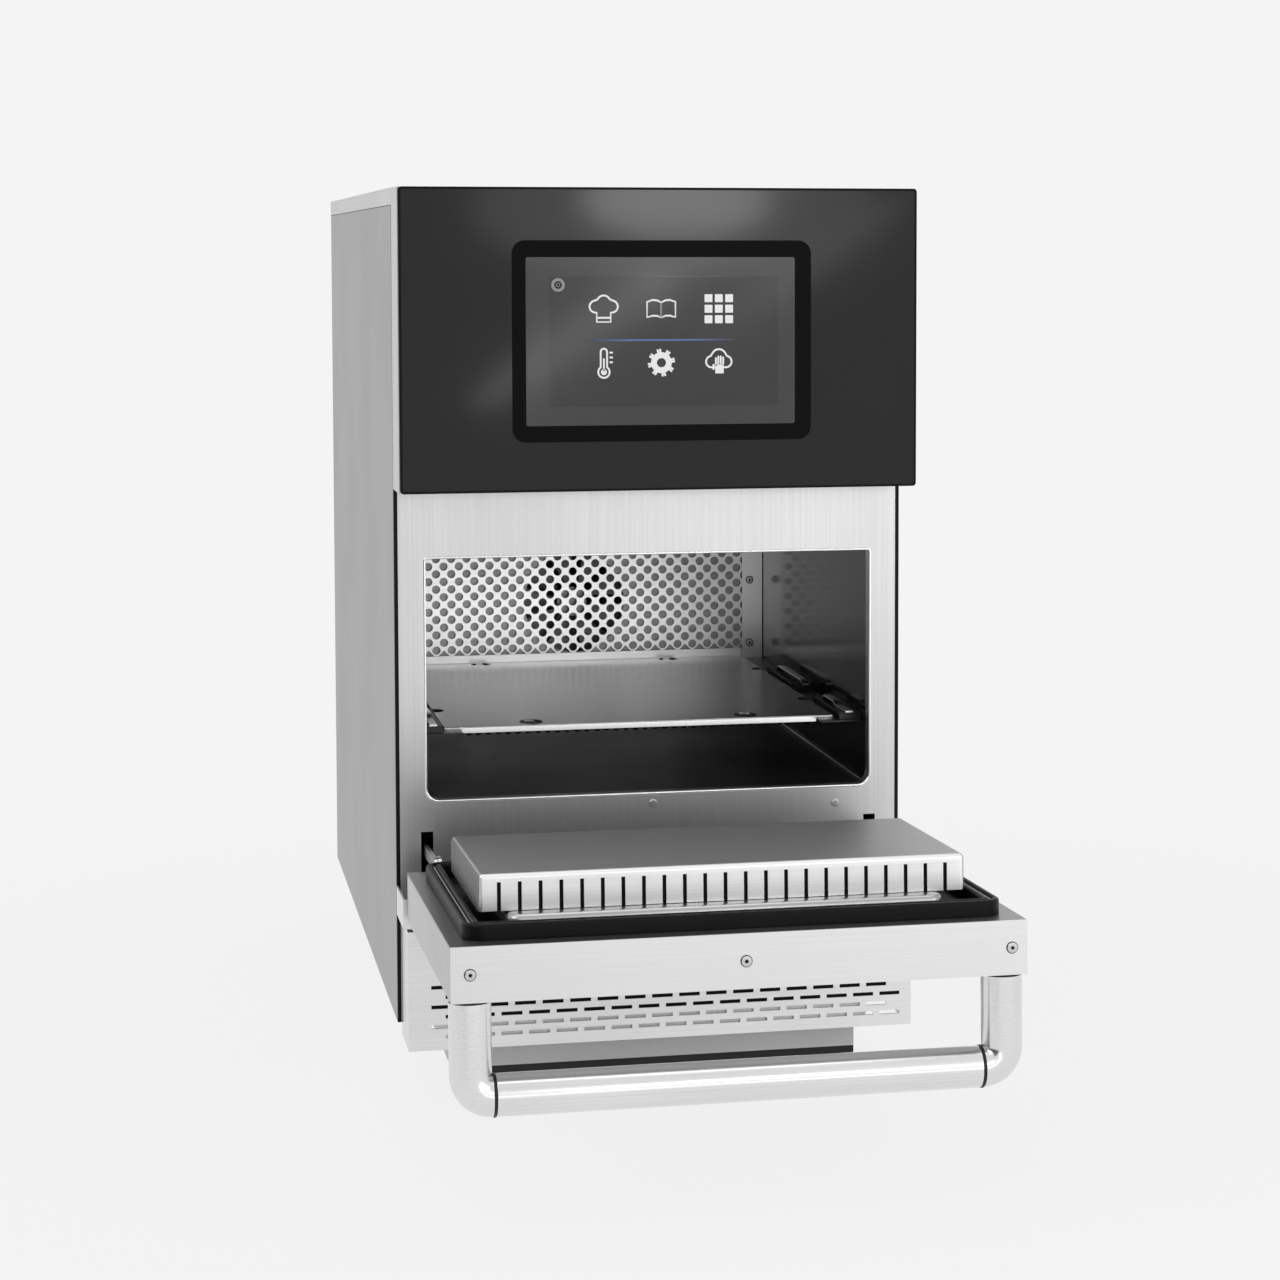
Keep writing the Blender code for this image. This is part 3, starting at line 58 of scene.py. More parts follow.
# %% Camera
IMAGE = 1280
FOCAL_PIXELS = 2989.66
CAMERA_PLACE = (-0.3591, -2.0390 + FRONT, 0.5750)
CAMERA_YAW = math.radians(12.2429)
CAMERA_PITCH = math.radians(3.9627)
CAMERA_SHIFT = (-0.10, -0.14)
SENSOR = 36.0


def link(name, data):
    """Put a new object that holds this data into the scene."""
    holder = bpy.data.objects.new(name, data)
    bpy.context.scene.collection.objects.link(holder)
    return holder


def add_camera():
    lens = bpy.data.cameras.new("studio_camera")
    lens.sensor_width = SENSOR
    lens.lens = FOCAL_PIXELS * SENSOR / IMAGE
    lens.shift_x, lens.shift_y = CAMERA_SHIFT
    lens.clip_start = 0.05
    holder = link("studio_camera", lens)
    holder.location = CAMERA_PLACE
    holder.rotation_euler = (math.pi / 2 - CAMERA_PITCH, 0, -CAMERA_YAW)
    bpy.context.scene.camera = holder
    return holder


camera = add_camera()
print("camera lens", round(camera.data.lens, 1), "mm")

# %% [markdown]
# A material is a small graph of nodes. These helpers add a node with its settings and feed its
# inputs with values, colours or other nodes' outputs, so that each recipe below reads as one short
# list.

# %% Node helpers


def feed(tree, node, inputs):
    """Join outputs to a node's inputs, or write plain values into them, by name or number."""
    for name, value in inputs.items():
        if isinstance(value, bpy.types.NodeSocket):
            tree.links.new(value, node.inputs[name])
        else:
            node.inputs[name].default_value = value


def add_node(tree, kind, inputs=None, **settings):
    node = tree.nodes.new(kind)
    for name, value in settings.items():
        setattr(node, name, value)
    feed(tree, node, inputs or {})
    return node


def ramp(tree, value, stops):
    """A colour ramp. Each stop is a place with a colour, or with one number for a grey."""
    node = add_node(tree, "ShaderNodeValToRGB", {"Fac": value})
    keys = node.color_ramp.elements
    while len(keys) < len(stops):
        keys.new(0.5)
    for key, (place, shade) in zip(keys, stops):
        key.position = place
        key.color = (shade, shade, shade, 1) if isinstance(shade, float) else (*shade, 1)
    return node.outputs["Color"]


def mix(tree, factor, first, second):
    node = add_node(tree, "ShaderNodeMix", {"Factor": factor, "A": first, "B": second},
                    data_type="RGBA")
    return node.outputs["Result"]


def spread(tree, value, low, high, start=0.0, end=1.0, **settings):
    """Stretch a value from start..end to low..high."""
    node = add_node(tree, "ShaderNodeMapRange", {
        "Value": value, "From Min": start, "From Max": end, "To Min": low, "To Max": high},
                    **settings)
    return node.outputs["Result"]


def noise(tree, where, scale, detail, rough=0.5):
    node = add_node(tree, "ShaderNodeTexNoise", {
        "Vector": where, "Scale": scale, "Detail": detail, "Roughness": rough})
    return node.outputs["Fac"]


def relief(tree, height, strength, distance):
    node = add_node(tree, "ShaderNodeBump", {
        "Strength": strength, "Distance": distance, "Height": height})
    return node.outputs["Normal"]


def new_group(name, inputs, outputs):
    """An empty node group with named sockets, its entry node and its output node."""
    group = bpy.data.node_groups.new(name, "ShaderNodeTree")
    for way, sockets in (("INPUT", inputs), ("OUTPUT", outputs)):
        for label, kind in sockets.items():
            group.interface.new_socket(label, in_out=way, socket_type="NodeSocket" + kind)
    return group, group.nodes.new("NodeGroupInput"), group.nodes.new("NodeGroupOutput")


def new_material(name):
    material = bpy.data.materials.new(name)
    material.use_nodes = True
    tree = material.node_tree
    where = add_node(tree, "ShaderNodeTexCoord").outputs["Object"]
    return material, tree, tree.nodes["Principled BSDF"], where


print("node helpers ready")

# %% [markdown]
# Brushed steel is sheet that a belt has scratched in one direction. Very long thin noise gives the
# scratches, and broad soft noise gives the cloudiness of handled metal. Every steel here uses the
# same group, so it is built once, with the scratch direction as a scale on the coordinates.

# %% Shared effect: brushed grain


def build_grain_group():
    group, entry, out = new_group("brushed_grain", {"Vector": "Vector", "Stretch": "Vector"},
                                  {"Grain": "Float", "Clouds": "Float"})
    where = entry.outputs["Vector"]
    mapping = add_node(group, "ShaderNodeMapping", {
        "Vector": where, "Scale": entry.outputs["Stretch"]})
    feed(group, out, {"Grain": noise(group, mapping.outputs["Vector"], 1.0, 3.0, 0.6),
                      "Clouds": noise(group, where, 9.0, 2.0)})
    return group


GRAIN = build_grain_group()
print("group", GRAIN.name)

# %% [markdown]
# One recipe makes every steel: a colour, how sharp its reflections are, and which way it is
# brushed. The grain changes the colour and the roughness a little and also feeds a bump, so
# highlights break up across the scratches the way they do on the real sheet.

# %% Steel recipe
ALONG_X = (6.0, 900.0, 900.0)
ALONG_Y = (900.0, 6.0, 900.0)
ALONG_Z = (900.0, 900.0, 6.0)
EVERY_WAY = (300.0, 300.0, 300.0)


def steel(name, dark, light, rough, brushed, bump=0.12, edge=1.0):
    """Metal in two shades: its roughness, brushing, relief, and brightness when seen edge on."""
    material, tree, shader, where = new_material(name)
    grain = add_node(tree, "ShaderNodeGroup", {"Vector": where, "Stretch": brushed},
                     node_tree=GRAIN)
    fine = grain.outputs["Grain"]
    cloudy = mix(tree, 0.35, fine, grain.outputs["Clouds"])
    feed(tree, shader, {
        "Base Color": ramp(tree, cloudy, ((0.3, dark), (0.7, light))),
        "Metallic": 1.0,
        "Specular Tint": (edge, edge, edge, 1),
        "Roughness": spread(tree, cloudy, rough + 0.07, rough - 0.07),
        "Normal": relief(tree, fine, bump, 0.0002)})
    return material


SIDE_STEEL = steel("side_steel_brushed_upright", 0.30, 0.38, 0.42, ALONG_Z)
FRONT_STEEL = steel("front_steel_brushed_upright", 0.52, 0.61, 0.34, ALONG_Z)
WIDE_STEEL = steel("steel_brushed_across", 0.68, 0.78, 0.38, ALONG_X)
# Door edge steel, also used for the painted highlight strips on the gasket.
DOOR_EDGE_AND_HIGHLIGHT_STEEL = steel("door_edge_and_highlight_steel", 0.65, 0.71, 0.42, ALONG_X)
SKIN_STEEL = steel("door_skin_steel", 0.42, 0.53, 0.36, ALONG_Y)
# The door's inner sheet is a darker steel: painted shade on the open door.
DOOR_INNER_SHADE_STEEL = steel("door_inner_painted_shade_steel", 0.20, 0.28, 0.34, ALONG_X)
TOP_STEEL = steel("steel_brushed_back_to_front", 0.50, 0.62, 0.36, ALONG_Y)
PLUG_STEEL = steel("plug_steel", 0.50, 0.62, 0.42, ALONG_X, edge=0.6)
# The plug's front and ends are lighter and darker copies of the plug's steel: painted light and
# painted shade.
PLUG_LIT_FRONT_STEEL = steel("plug_front_painted_light_steel", 0.74, 0.86, 0.42, ALONG_X)
PLUG_SHADED_SIDE_STEEL = steel("plug_side_painted_shade_steel", 0.22, 0.30, 0.42, ALONG_X, edge=0.6)
TUBE_STEEL = steel("handle_tube_steel", 0.70, 0.81, 0.20, ALONG_X, bump=0.05)
HINGE_STEEL = steel("hinge_plate_steel", 0.42, 0.55, 0.32, ALONG_Y)
# The cavity's stainless liner gets a near-black steel: painted shade inside the oven's recess.
CAVITY_SHADE_STEEL = steel("cavity_steel_with_painted_shade", (0.09, 0.095, 0.092), (0.14, 0.145, 0.142), 0.13,
                     ALONG_Z, bump=0.04, edge=0.65)
# The plate rails are near-black steel: painted shade in the cavity.
RAIL_SHADE_STEEL = steel("rail_steel_with_painted_shade", 0.03, 0.06, 0.34, ALONG_Y)
FAN_STEEL = steel("fan_steel", 0.16, 0.26, 0.40, ALONG_X)
BACK_WALL = steel("fan_room_steel", 0.34, 0.48, 0.45, ALONG_Z)
GRILLE_STEEL = steel("grille_steel", (0.86, 0.86, 0.85), (0.94, 0.94, 0.93), 0.30, ALONG_X)
STRIP_STEEL = steel("grille_strip_steel", 0.22, 0.32, 0.4, ALONG_Z, edge=0.4)
GUARD_STEEL = steel("fan_guard_steel", 0.30, 0.46, 0.45, ALONG_X)
PLATE_STEEL = steel("cook_plate_steel", 0.46, 0.57, 0.24, ALONG_X, bump=0.05, edge=0.8)
PAN_STEEL = steel("pan_steel", 0.34, 0.46, 0.30, ALONG_X)
# A steel brighter than the sheets it sits on: real folds and beads, with painted highlight in their
# colour.
FOLD_HIGHLIGHT_STEEL = steel("folded_edge_painted_highlight", 0.80, 0.90, 0.22, ALONG_X, bump=0.03)
SCREW_STEEL = steel("screw_steel", 0.48, 0.62, 0.32, EVERY_WAY)
print("steels made")

# %% [markdown]
# The dark, matte and glossy parts share a second effect: fine speckle for moulded grain and broad
# soft patches for finger marks and dust. It changes roughness more than colour, as it does on real
# plastic.

# %% Shared effect: speckle and smudges


def build_smudge_group():
    group, entry, out = new_group(
        "speckle_and_smudges", {"Vector": "Vector", "Speckle Scale": "Float"},
        {"Speckle": "Float", "Smudge": "Float"})
    where = entry.outputs["Vector"]
    feed(group, out, {"Speckle": noise(group, where, entry.outputs["Speckle Scale"], 2.0),
                      "Smudge": noise(group, where, 14.0, 4.0)})
    return group


SMUDGES = build_smudge_group()


def coating(name, dark, light, rough, scale=900.0, bump=0.15, metal=0.0, swing=0.08, shine=0.5):
    """Plastic, rubber, paint or cast metal: two shades, a roughness, a grain, a mirror strength."""
    material, tree, shader, where = new_material(name)
    marks = add_node(tree, "ShaderNodeGroup", {"Vector": where, "Speckle Scale": scale},
                     node_tree=SMUDGES)
    speckle, smudge = marks.outputs["Speckle"], marks.outputs["Smudge"]
    shades = ((0.3, dark), (0.7, light))
    feed(tree, shader, {
        "Base Color": ramp(tree, mix(tree, 0.5, speckle, smudge), shades),
        "Metallic": metal,
        "Specular IOR Level": shine,
        "Roughness": spread(tree, smudge, rough - swing, rough + swing),
        "Normal": relief(tree, speckle, bump, 0.0003)})
    return material


LIT_GREY = (0.041, 0.040, 0.040)
GLASSY = {"scale": 1500.0, "bump": 0.0, "swing": 0.015}
MATT = {"scale": 1500.0, "bump": 0.05}
HOUSING_PAINT = coating("housing_paint_light_grey", 0.60, 0.68, 0.45)
PLINTH_PAINT = coating("plinth_paint_grey", 0.70, 0.78, 0.5)
PANEL_BLACK = coating("control_panel_black", (0.008, 0.008, 0.009), (0.011, 0.011, 0.012), 0.09,
                      shine=0.30, **GLASSY)
# Matt black for the glass's trim, also used for painted shade: the plug's core, the screws' rings,
# the plate's beads and the filter's upper backing.
BLACK_TRIM_AND_SHADE = coating("black_trim_and_painted_shade", 0.002, 0.004, 0.5, shine=0.12, **MATT)
# The cavity floor is near black: painted shade under the cook plate.
CAVITY_FLOOR_SHADE = coating("cavity_floor_painted_shade", 0.006, 0.011, 0.34, bump=0.05, shine=0.2)
BEZEL_BLACK = coating("bezel_black", 0.003, 0.005, 0.5, shine=0.05, **MATT)
SCREEN_DARK = coating("screen_dark", 0.052, 0.060, 0.10, shine=0.32, **GLASSY)
SCREEN_LIT = coating("screen_lit", LIT_GREY, (0.048, 0.046, 0.046), 0.10, shine=0.32, **GLASSY)
# Black silicone for the gasket, also used for the painted shade in the front's upright gaps.
SILICONE_AND_SHADE = coating("black_silicone_and_painted_shade", 0.003, 0.006, 0.42, 700.0, 0.1, shine=0.12)
RUBBER = coating("foot_rubber", 0.010, 0.020, 0.7, 600.0, 0.3)
# Black plastic for the gland, fans and rings, also used for painted shade under the plinth and at the
# handle's arms.
BLACK_PLASTIC_AND_SHADE = coating("plastic_and_painted_shade_black", 0.006, 0.010, 0.35, shine=0.3)
CAST_METAL = coating("cast_metal", 0.22, 0.32, 0.55, 500.0, 0.4, metal=0.6)
WOOL = coating("insulating_wool", (0.45, 0.44, 0.42), (0.62, 0.60, 0.57), 0.95, 250.0, 0.8)
BOARD_GREEN = coating("circuit_board_green", (0.02, 0.12, 0.05), (0.03, 0.18, 0.08), 0.4, 800.0,
                      0.2)
ICON_WHITE = coating("icon_white", 0.86, 0.92, 0.5, bump=0.0)
ICON_GREY = coating("icon_grey", 0.25, 0.30, 0.5, bump=0.0)
print("coatings made")

# %% [markdown]
# Each node of the frame gets its finish by name. The direction of brushing follows how the real
# sheets are cut: upright on the casing and on the front, across on the door's edge and on the lower
# front.

# %% Finishes for the frame's nodes
HINGE_KINDS = ("hinge_arm_", "stay_link_", "hinge_bracket_", "hinge_pin_", "hinge_cassette_")
FINISHES = {
    SIDE_STEEL: "side_panel_left side_panel_right rear_panel",
    FRONT_STEEL: "front_frame",
    DOOR_INNER_SHADE_STEEL: "door_inner_panel",
    SKIN_STEEL: "door_outer_skin",
    DOOR_EDGE_AND_HIGHLIGHT_STEEL: "door_edge_cap",
    PAN_STEEL: "door_pan",
    WIDE_STEEL: "hinge_cover filter_panel",
    TOP_STEEL: "top_cover chassis_floor waveguide",
    PLUG_STEEL: "choke_plug",
    TUBE_STEEL: "handle_bar handle_arm_left handle_arm_right",
    HINGE_STEEL: " ".join(kind + side for side in SIGN for kind in HINGE_KINDS),
    CAVITY_SHADE_STEEL: "cavity_roof cavity_wall_left cavity_wall_right jet_plate heating_element",
    GRILLE_STEEL: "rear_grille",
    FAN_STEEL: "convection_fan",
    RAIL_SHADE_STEEL: "plate_rail_left plate_rail_right",
    BACK_WALL: "cavity_rear_wall",
    CAVITY_FLOOR_SHADE: "cavity_floor",
    HOUSING_PAINT: "control_housing",
    PLINTH_PAINT: "base_plinth",
    PANEL_BLACK: "control_glass",
    BEZEL_BLACK: "screen_bezel",
    SCREEN_DARK: "touch_display",
    SILICONE_AND_SHADE: "door_gasket",
    RUBBER: "foot_front_left foot_front_right foot_rear_left foot_rear_right",
    BLACK_PLASTIC_AND_SHADE: "cord_gland cooling_fan_housing cooling_fan handle_ring_left handle_ring_right",
    PLATE_STEEL: "cook_plate",
    CAST_METAL: "convection_motor magnetron",
    WOOL: "door_insulation",
    BOARD_GREEN: "control_board power_supply",
}


def coat(piece, material):
    """Give an object one material and take away any other."""
    piece.data.materials.clear()
    piece.data.materials.append(material)


def give_finishes():
    given = set()
    for material, names in FINISHES.items():
        for name in names.split():
            coat(NODES[name], material)
            given.add(name)
    return sorted(set(NODES) - given)


print("nodes with no finish:", give_finishes())

# %% [markdown]
# Finer pieces come next. Each one starts from a primitive at its real size, is shaped in edit mode,
# and ends with its object at the origin, as the frame's own nodes do. These helpers deselect
# everything first, because an operator acts on all that is selected, and pick faces or edges in
# code.

# %% Modelling helpers
HAIR = 0.00001
NEAR = 0.0001
FACING = 0.9
STANDING = (math.radians(90), 0, 0)
LYING = (0, math.radians(90), 0)


def deselect():
    bpy.ops.object.select_all(action="DESELECT")


def select_only(piece):
    deselect()
    piece.select_set(True)
    bpy.context.view_layer.objects.active = piece


def take(name):
    """Name the new primitive and put its place into its mesh."""
    piece = bpy.context.active_object
    piece.name = name
    bpy.ops.object.transform_apply(location=True, rotation=True, scale=True)
    return piece


def around(middle, half):
    return middle - half, middle + half


def side_span(side, near, far):
    """The x span between two distances from the middle, on the left or on the right."""
    return sorted((SIGN[side] * near, SIGN[side] * far))


def add_block(name, low, high):
    """A block between two corners. Three spans x, y and z give them as *zip(x, y, z)."""
    deselect()
    middle = [(a + b) / 2 for a, b in zip(low, high)]
    size = [b - a for a, b in zip(low, high)]
    bpy.ops.mesh.primitive_cube_add(size=1, location=middle, scale=size)
    return take(name)


def add_sheet(name, low, high, height):
    """A flat rectangle that lies in X and Y."""
    deselect()
    middle = ((low[0] + high[0]) / 2, (low[1] + high[1]) / 2, height)
    bpy.ops.mesh.primitive_plane_add(size=1, location=middle)
    bpy.context.active_object.scale = (high[0] - low[0], high[1] - low[1], 1)
    return take(name)


def add_circle(name, place, radius, sides, fill, turn=(0, 0, 0)):
    deselect()
    bpy.ops.mesh.primitive_circle_add(
        vertices=sides, radius=radius, fill_type=fill, location=place, rotation=turn)
    return take(name)


def add_disc(name, centre, radius, depth, sides=32, turn=(0, 0, 0)):
    deselect()
    bpy.ops.mesh.primitive_cylinder_add(
        vertices=sides, radius=radius, depth=depth, location=centre, rotation=turn)
    return take(name)


def edit(piece, kind="FACE", test=None):
    """Enter edit mode with only the faces, edges or points that pass the test selected."""
    select_only(piece)
    kinds = ("VERT", "EDGE", "FACE")
    bpy.context.tool_settings.mesh_select_mode = [kind == each for each in kinds]
    mesh = piece.data
    for items in (mesh.vertices, mesh.edges, mesh.polygons):
        for item in items:
            item.select = test is None
    if test and kind == "VERT":
        for point in mesh.vertices:
            point.select = test(point.co)
    if test and kind == "EDGE":
        for line in mesh.edges:
            line.select = test(*(mesh.vertices[i].co for i in line.vertices))
    if test and kind == "FACE":
        for face in mesh.polygons:
            face.select = test(face.center, face.normal)
    bpy.ops.object.mode_set(mode="EDIT")


def leave():
    bpy.ops.object.mode_set(mode="OBJECT")


def extrude(x=0, y=0, z=0):
    bpy.ops.mesh.extrude_region_move(TRANSFORM_OT_translate={"value": (x, y, z)})


def apply_modifier(piece, kind, **settings):
    modifier = piece.modifiers.new(kind.lower(), kind)
    for name, value in settings.items():
        setattr(modifier, name, value)
    select_only(piece)
    bpy.ops.object.modifier_apply(modifier=modifier.name)


def tidy(piece, angle=35):
    """Merge doubles, turn faces outwards and smooth the round parts, but keep large faces flat."""
    edit(piece)
    bpy.ops.mesh.remove_doubles(threshold=HAIR)
    bpy.ops.mesh.normals_make_consistent(inside=False)
    leave()
    bpy.ops.object.shade_smooth_by_angle(angle=math.radians(angle))
    apply_modifier(piece, "WEIGHTED_NORMAL", keep_sharp=True)


def round_edges(piece, test, width, segments=3):
    edit(piece, "EDGE", test)
    bpy.ops.mesh.bevel(offset=width, segments=segments, affect="EDGES", clamp_overlap=True)
    leave()


def join(pieces, name):
    deselect()
    for each in pieces:
        each.select_set(True)
    bpy.context.view_layer.objects.active = pieces[0]
    bpy.ops.object.join()
    pieces[0].name = name
    return pieces[0]


def cut_away(piece, cutter):
    apply_modifier(piece, "BOOLEAN", operation="DIFFERENCE", solver="EXACT", object=cutter)
    bpy.data.objects.remove(cutter)


def dress(piece, body, material, slot, *nodes):
    """Give a piece its material and its body, and hide the nodes that it stands for. The slot is not
    used.
    """
    coat(piece, material)
    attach(piece, body)
    if nodes:
        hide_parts(*nodes)
    return piece


print("modelling helpers ready")

# %% [markdown]
# The door hangs open, a little short of level. Its pieces are modelled lying flat, with the hinge
# axis as the origin, Y towards the handle as a negative distance and Z as the height above the
# hinge. One matrix then lays them on the real door. Its inverse reads sizes back from the frame's
# nodes.

# %% The open door's own axes
DOOR_TILT = math.radians(87.87 - 90)


def middle_of(box):
    low, high = box
    return (low + high) / 2


HINGE = middle_of(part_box("hinge_pin_left"))
DOOR_AXES = Matrix.Translation((0, HINGE.y, HINGE.z)) @ Matrix.Rotation(DOOR_TILT, 4, "X")
TO_DOOR = DOOR_AXES.inverted()


def door_box(node):
    """The lowest and highest corner of a node, measured along the open door."""
    points = [TO_DOOR @ point.co for point in NODES[node].data.vertices]
    low = Vector([min(p[i] for p in points) for i in range(3)])
    high = Vector([max(p[i] for p in points) for i in range(3)])
    return low, high


def complete(piece, body, material, slot, *nodes, angle=35):
    """Tidy a piece and dress it. A piece of the door is laid on the open door in between."""
    tidy(piece, angle)
    if body == "door":
        piece.data.transform(DOOR_AXES)
        piece.data.update()
    return dress(piece, body, material, slot, *nodes)


for name in ("door_gasket", "door_pan", "choke_plug", "handle_bar"):
    print(name, [round(value, 4) for corner in door_box(name) for value in corner])

# %% [markdown]
# The gasket is a moulded silicone frame with two rounded ridges, which close on the front frame. A
# flat sheet with round corners is inset again and again, and each inset goes up or down a little,
# so that the cross-section is drawn from the outside to the inside. The middle is then cut away. A
# black sheet lies inside the gasket. A thin strip of bright steel in the valley between its ridges
# at both sides is a painted highlight on the silicone.

# %% Door gasket
GASKET_CORNER = 0.0135
GASKET_STEPS = (
    (0.0004, 0.0012), (0.0010, 0.0006), (0.0014, 0.0001), (0.0011, -0.0006), (0.0004, -0.0018),
    (0.0010, -0.0006), (0.0010, 0.0006), (0.0004, 0.0018), (0.0011, 0.0006), (0.0014, -0.0001),
    (0.0010, -0.0006), (0.0004, -0.0012),
)
GASKET_RIDGE = 3
SEAT_INSET, SEAT_CORNER, SEAT_THICK = 0.0060, 0.004, 0.0004
HIGHLIGHT_INSET, HIGHLIGHT_DROP, HIGHLIGHT_END = (0.0049, 0.0057), (0.0024, 0.0014), 0.012


def round_sheet(name, low, high, height, corner, segments=8):
    """A flat sheet with round corners."""
    piece = add_sheet(name, low, high, height)
    edit(piece, "VERT")
    bpy.ops.mesh.bevel(offset=corner, segments=segments, affect="VERTICES", clamp_overlap=True)
    leave()
    return piece


def step_inwards(steps):
    """Inset the only selected face by each step, and raise or lower it."""
    for width, rise in steps:
        bpy.ops.mesh.inset(thickness=width, depth=rise, use_even_offset=True)


def total_rise(steps):
    return sum(rise for _, rise in steps)


def draw_frame(piece, level, lift, steps):
    """Turn a flat sheet into a closed frame: up, inwards step by step, down, and the middle out."""
    edit(piece)
    extrude(z=lift)
    step_inwards(steps)
    extrude(z=-lift - total_rise(steps))
    bpy.ops.mesh.delete(type="FACE")
    leave()
    edit(piece, "FACE", lambda centre, normal: (
        normal.z < -FACING and abs(centre.x) < 0.02 and centre.z < level + NEAR))
    bpy.ops.mesh.delete(type="ONLY_FACE")
    leave()
    edit(piece, "EDGE", lambda a, b: abs(a.z - level) < HAIR and abs(b.z - level) < HAIR)
    bpy.ops.mesh.bridge_edge_loops()
    leave()


def add_seat_plate():
    """The black sheet inside the gasket, under the raised pan."""
    low, high = door_box("door_gasket")
    edge = Vector((SEAT_INSET, SEAT_INSET, 0))
    height = door_box("door_inner_panel")[1].z
    piece = round_sheet("gasket_seat_plate", low + edge, high - edge, height, SEAT_CORNER, 6)
    edit(piece)
    extrude(z=SEAT_THICK)
    leave()
    return complete(piece, "door", SILICONE_AND_SHADE, "black_rubber")


def make_gasket():
    low, high = door_box("door_gasket")
    piece = round_sheet("gasket_with_ridges", low, high, low.z, GASKET_CORNER)
    lift = high.z - low.z - total_rise(GASKET_STEPS[:GASKET_RIDGE])
    draw_frame(piece, low.z, lift, GASKET_STEPS)
    return complete(piece, "door", SILICONE_AND_SHADE, "black_rubber", "door_gasket", angle=50)


# The bright strip between the ridges is a painted highlight on the black silicone.
def add_gasket_highlight(side):
    low, high = door_box("door_gasket")
    x = side_span(side, *(high.x - inset for inset in HIGHLIGHT_INSET))
    z = [high.z - drop for drop in HIGHLIGHT_DROP]
    y = (low.y + HIGHLIGHT_END, high.y - HIGHLIGHT_END)
    piece = add_block("gasket_highlight_strip_" + side, *zip(x, y, z))
    round_edges(piece, lambda a, b: min(a.z, b.z) > z[1] - NEAR, 0.0003)
    return complete(piece, "door", DOOR_EDGE_AND_HIGHLIGHT_STEEL, "bright_steel")


add_seat_plate()
gasket = make_gasket()
for side in SIGN:
    add_gasket_highlight(side)
print("gasket faces:", len(gasket.data.polygons))

# %% [markdown]
# The pan is the bright pressed sheet that the plug stands on. Its edge is drawn over a round tool,
# so the sheet rises in a soft curve all the way round. It starts as a round-cornered sheet as well.

# %% Door pan
PAN_CORNER = 0.0085
PAN_NARROWER = 0.0175
PAN_STEPS = ((0.0004, 0.0022), (0.0008, 0.0014), (0.0014, 0.0008), (0.0022, 0.0003))


def make_pan():
    low, high = door_box("door_pan")
    edge = Vector((PAN_NARROWER, 0, 0))
    piece = round_sheet("pressed_door_pan", low + edge, high - edge, low.z, PAN_CORNER)
    edit(piece)
    extrude(z=high.z - low.z - total_rise(PAN_STEPS))
    step_inwards(PAN_STEPS)
    leave()
    return complete(piece, "door", PAN_STEEL, "bright_steel", "door_pan", angle=50)


print("pan faces:", len(make_pan().data.polygons))

# %% [markdown]
# The choke plug fills the oven opening when the door is shut and keeps the microwaves in. It is a
# shallow steel box with a row of slots down every side. The box gets its round bends first. The
# slots are cut with one set of thin blocks, joined and used as a boolean. Its top, its front and
# its ends are one steel in three tones: a brighter copy on the front is painted light, and a darker
# copy on the ends is painted shade. A black core inside the box shows in the slots as painted shade.

# %% Choke plug
PLUG_BEND = 0.0030
PLUG_SHEET = 0.0012
PLUG_SLOT = 0.0024
PLUG_SLOT_PITCH = 0.0127
PLUG_SLOT_START = 0.0052
PLUG_SLOT_DEPTH = 0.0050
PLUG_LEVEL = 0.7


def slot_places(half):
    """Places of a centred row of slots within plus and minus half."""
    count = int(2 * half / PLUG_SLOT_PITCH)
    return [(i - (count - 1) / 2) * PLUG_SLOT_PITCH for i in range(count)]


def make_slot_cutter(low, high):
    """All slot blocks as one mesh: across the front and back, and down both sides."""
    blocks = []
    for along, across in ((0, 1), (1, 0)):
        middle = (low[along] + high[along]) / 2
        for step in slot_places((high[along] - low[along]) / 2):
            for rim in (low[across], high[across]):
                spans = [None, None, (low.z - 0.002, high.z - PLUG_SLOT_START)]
                spans[along] = around(middle + step, PLUG_SLOT / 2)
                spans[across] = around(rim, PLUG_SLOT_DEPTH)
                blocks.append(add_block("slot_block", *zip(*spans)))
    return join(blocks, "slot_cutter")


def make_plug():
    low, high = door_box("choke_plug")
    piece = add_block("slotted_choke_plug", low, high)
    round_edges(piece, lambda a, b: max(a.z, b.z) > high.z - NEAR, PLUG_BEND, 4)
    edit(piece, "FACE", lambda centre, normal: normal.z < -FACING)
    bpy.ops.mesh.inset(thickness=PLUG_SHEET)
    extrude(z=high.z - low.z - PLUG_SHEET)
    leave()
    cut_away(piece, make_slot_cutter(low, high))
    complete(piece, "door", PLUG_STEEL, "brushed_steel", "choke_plug", angle=30)
    # The front faces get the brighter copy as painted light, and the ends the darker copy as painted
    # shade.
    for material in (PLUG_LIT_FRONT_STEEL, PLUG_SHADED_SIDE_STEEL):
        piece.data.materials.append(material)
    for face in piece.data.polygons:
        if abs(face.normal.z) < PLUG_LEVEL:
            face.material_index = 1 if abs(face.normal.y) > abs(face.normal.x) else 2
    return piece


def make_plug_shade_core():
    """A black block inside the box: painted shade that shows through the slots."""
    low, high = door_box("choke_plug")
    gap = PLUG_SHEET + 0.0002
    edge, top = Vector((gap, gap, 0)), Vector((0, 0, gap))
    piece = add_block("choke_plug_shade_core", low + edge, high - edge - top)
    round_edges(piece, lambda a, b: abs(a.z - b.z) > 0.01, 0.0010, 2)
    return complete(piece, "door", BLACK_TRIM_AND_SHADE, "brushed_steel")


print("plug faces:", len(make_plug().data.polygons))
make_plug_shade_core()

# %% [markdown]
# The handle is one tube of steel, cut in three: two arms that bend through a right angle and a
# straight grip between two black rings. An arm starts as a circle under the door, is extruded down,
# spun round the bend and extruded again, as a tube bender would make it. A thin black disc where
# it meets the door is painted shade: the contact shadow under the door.

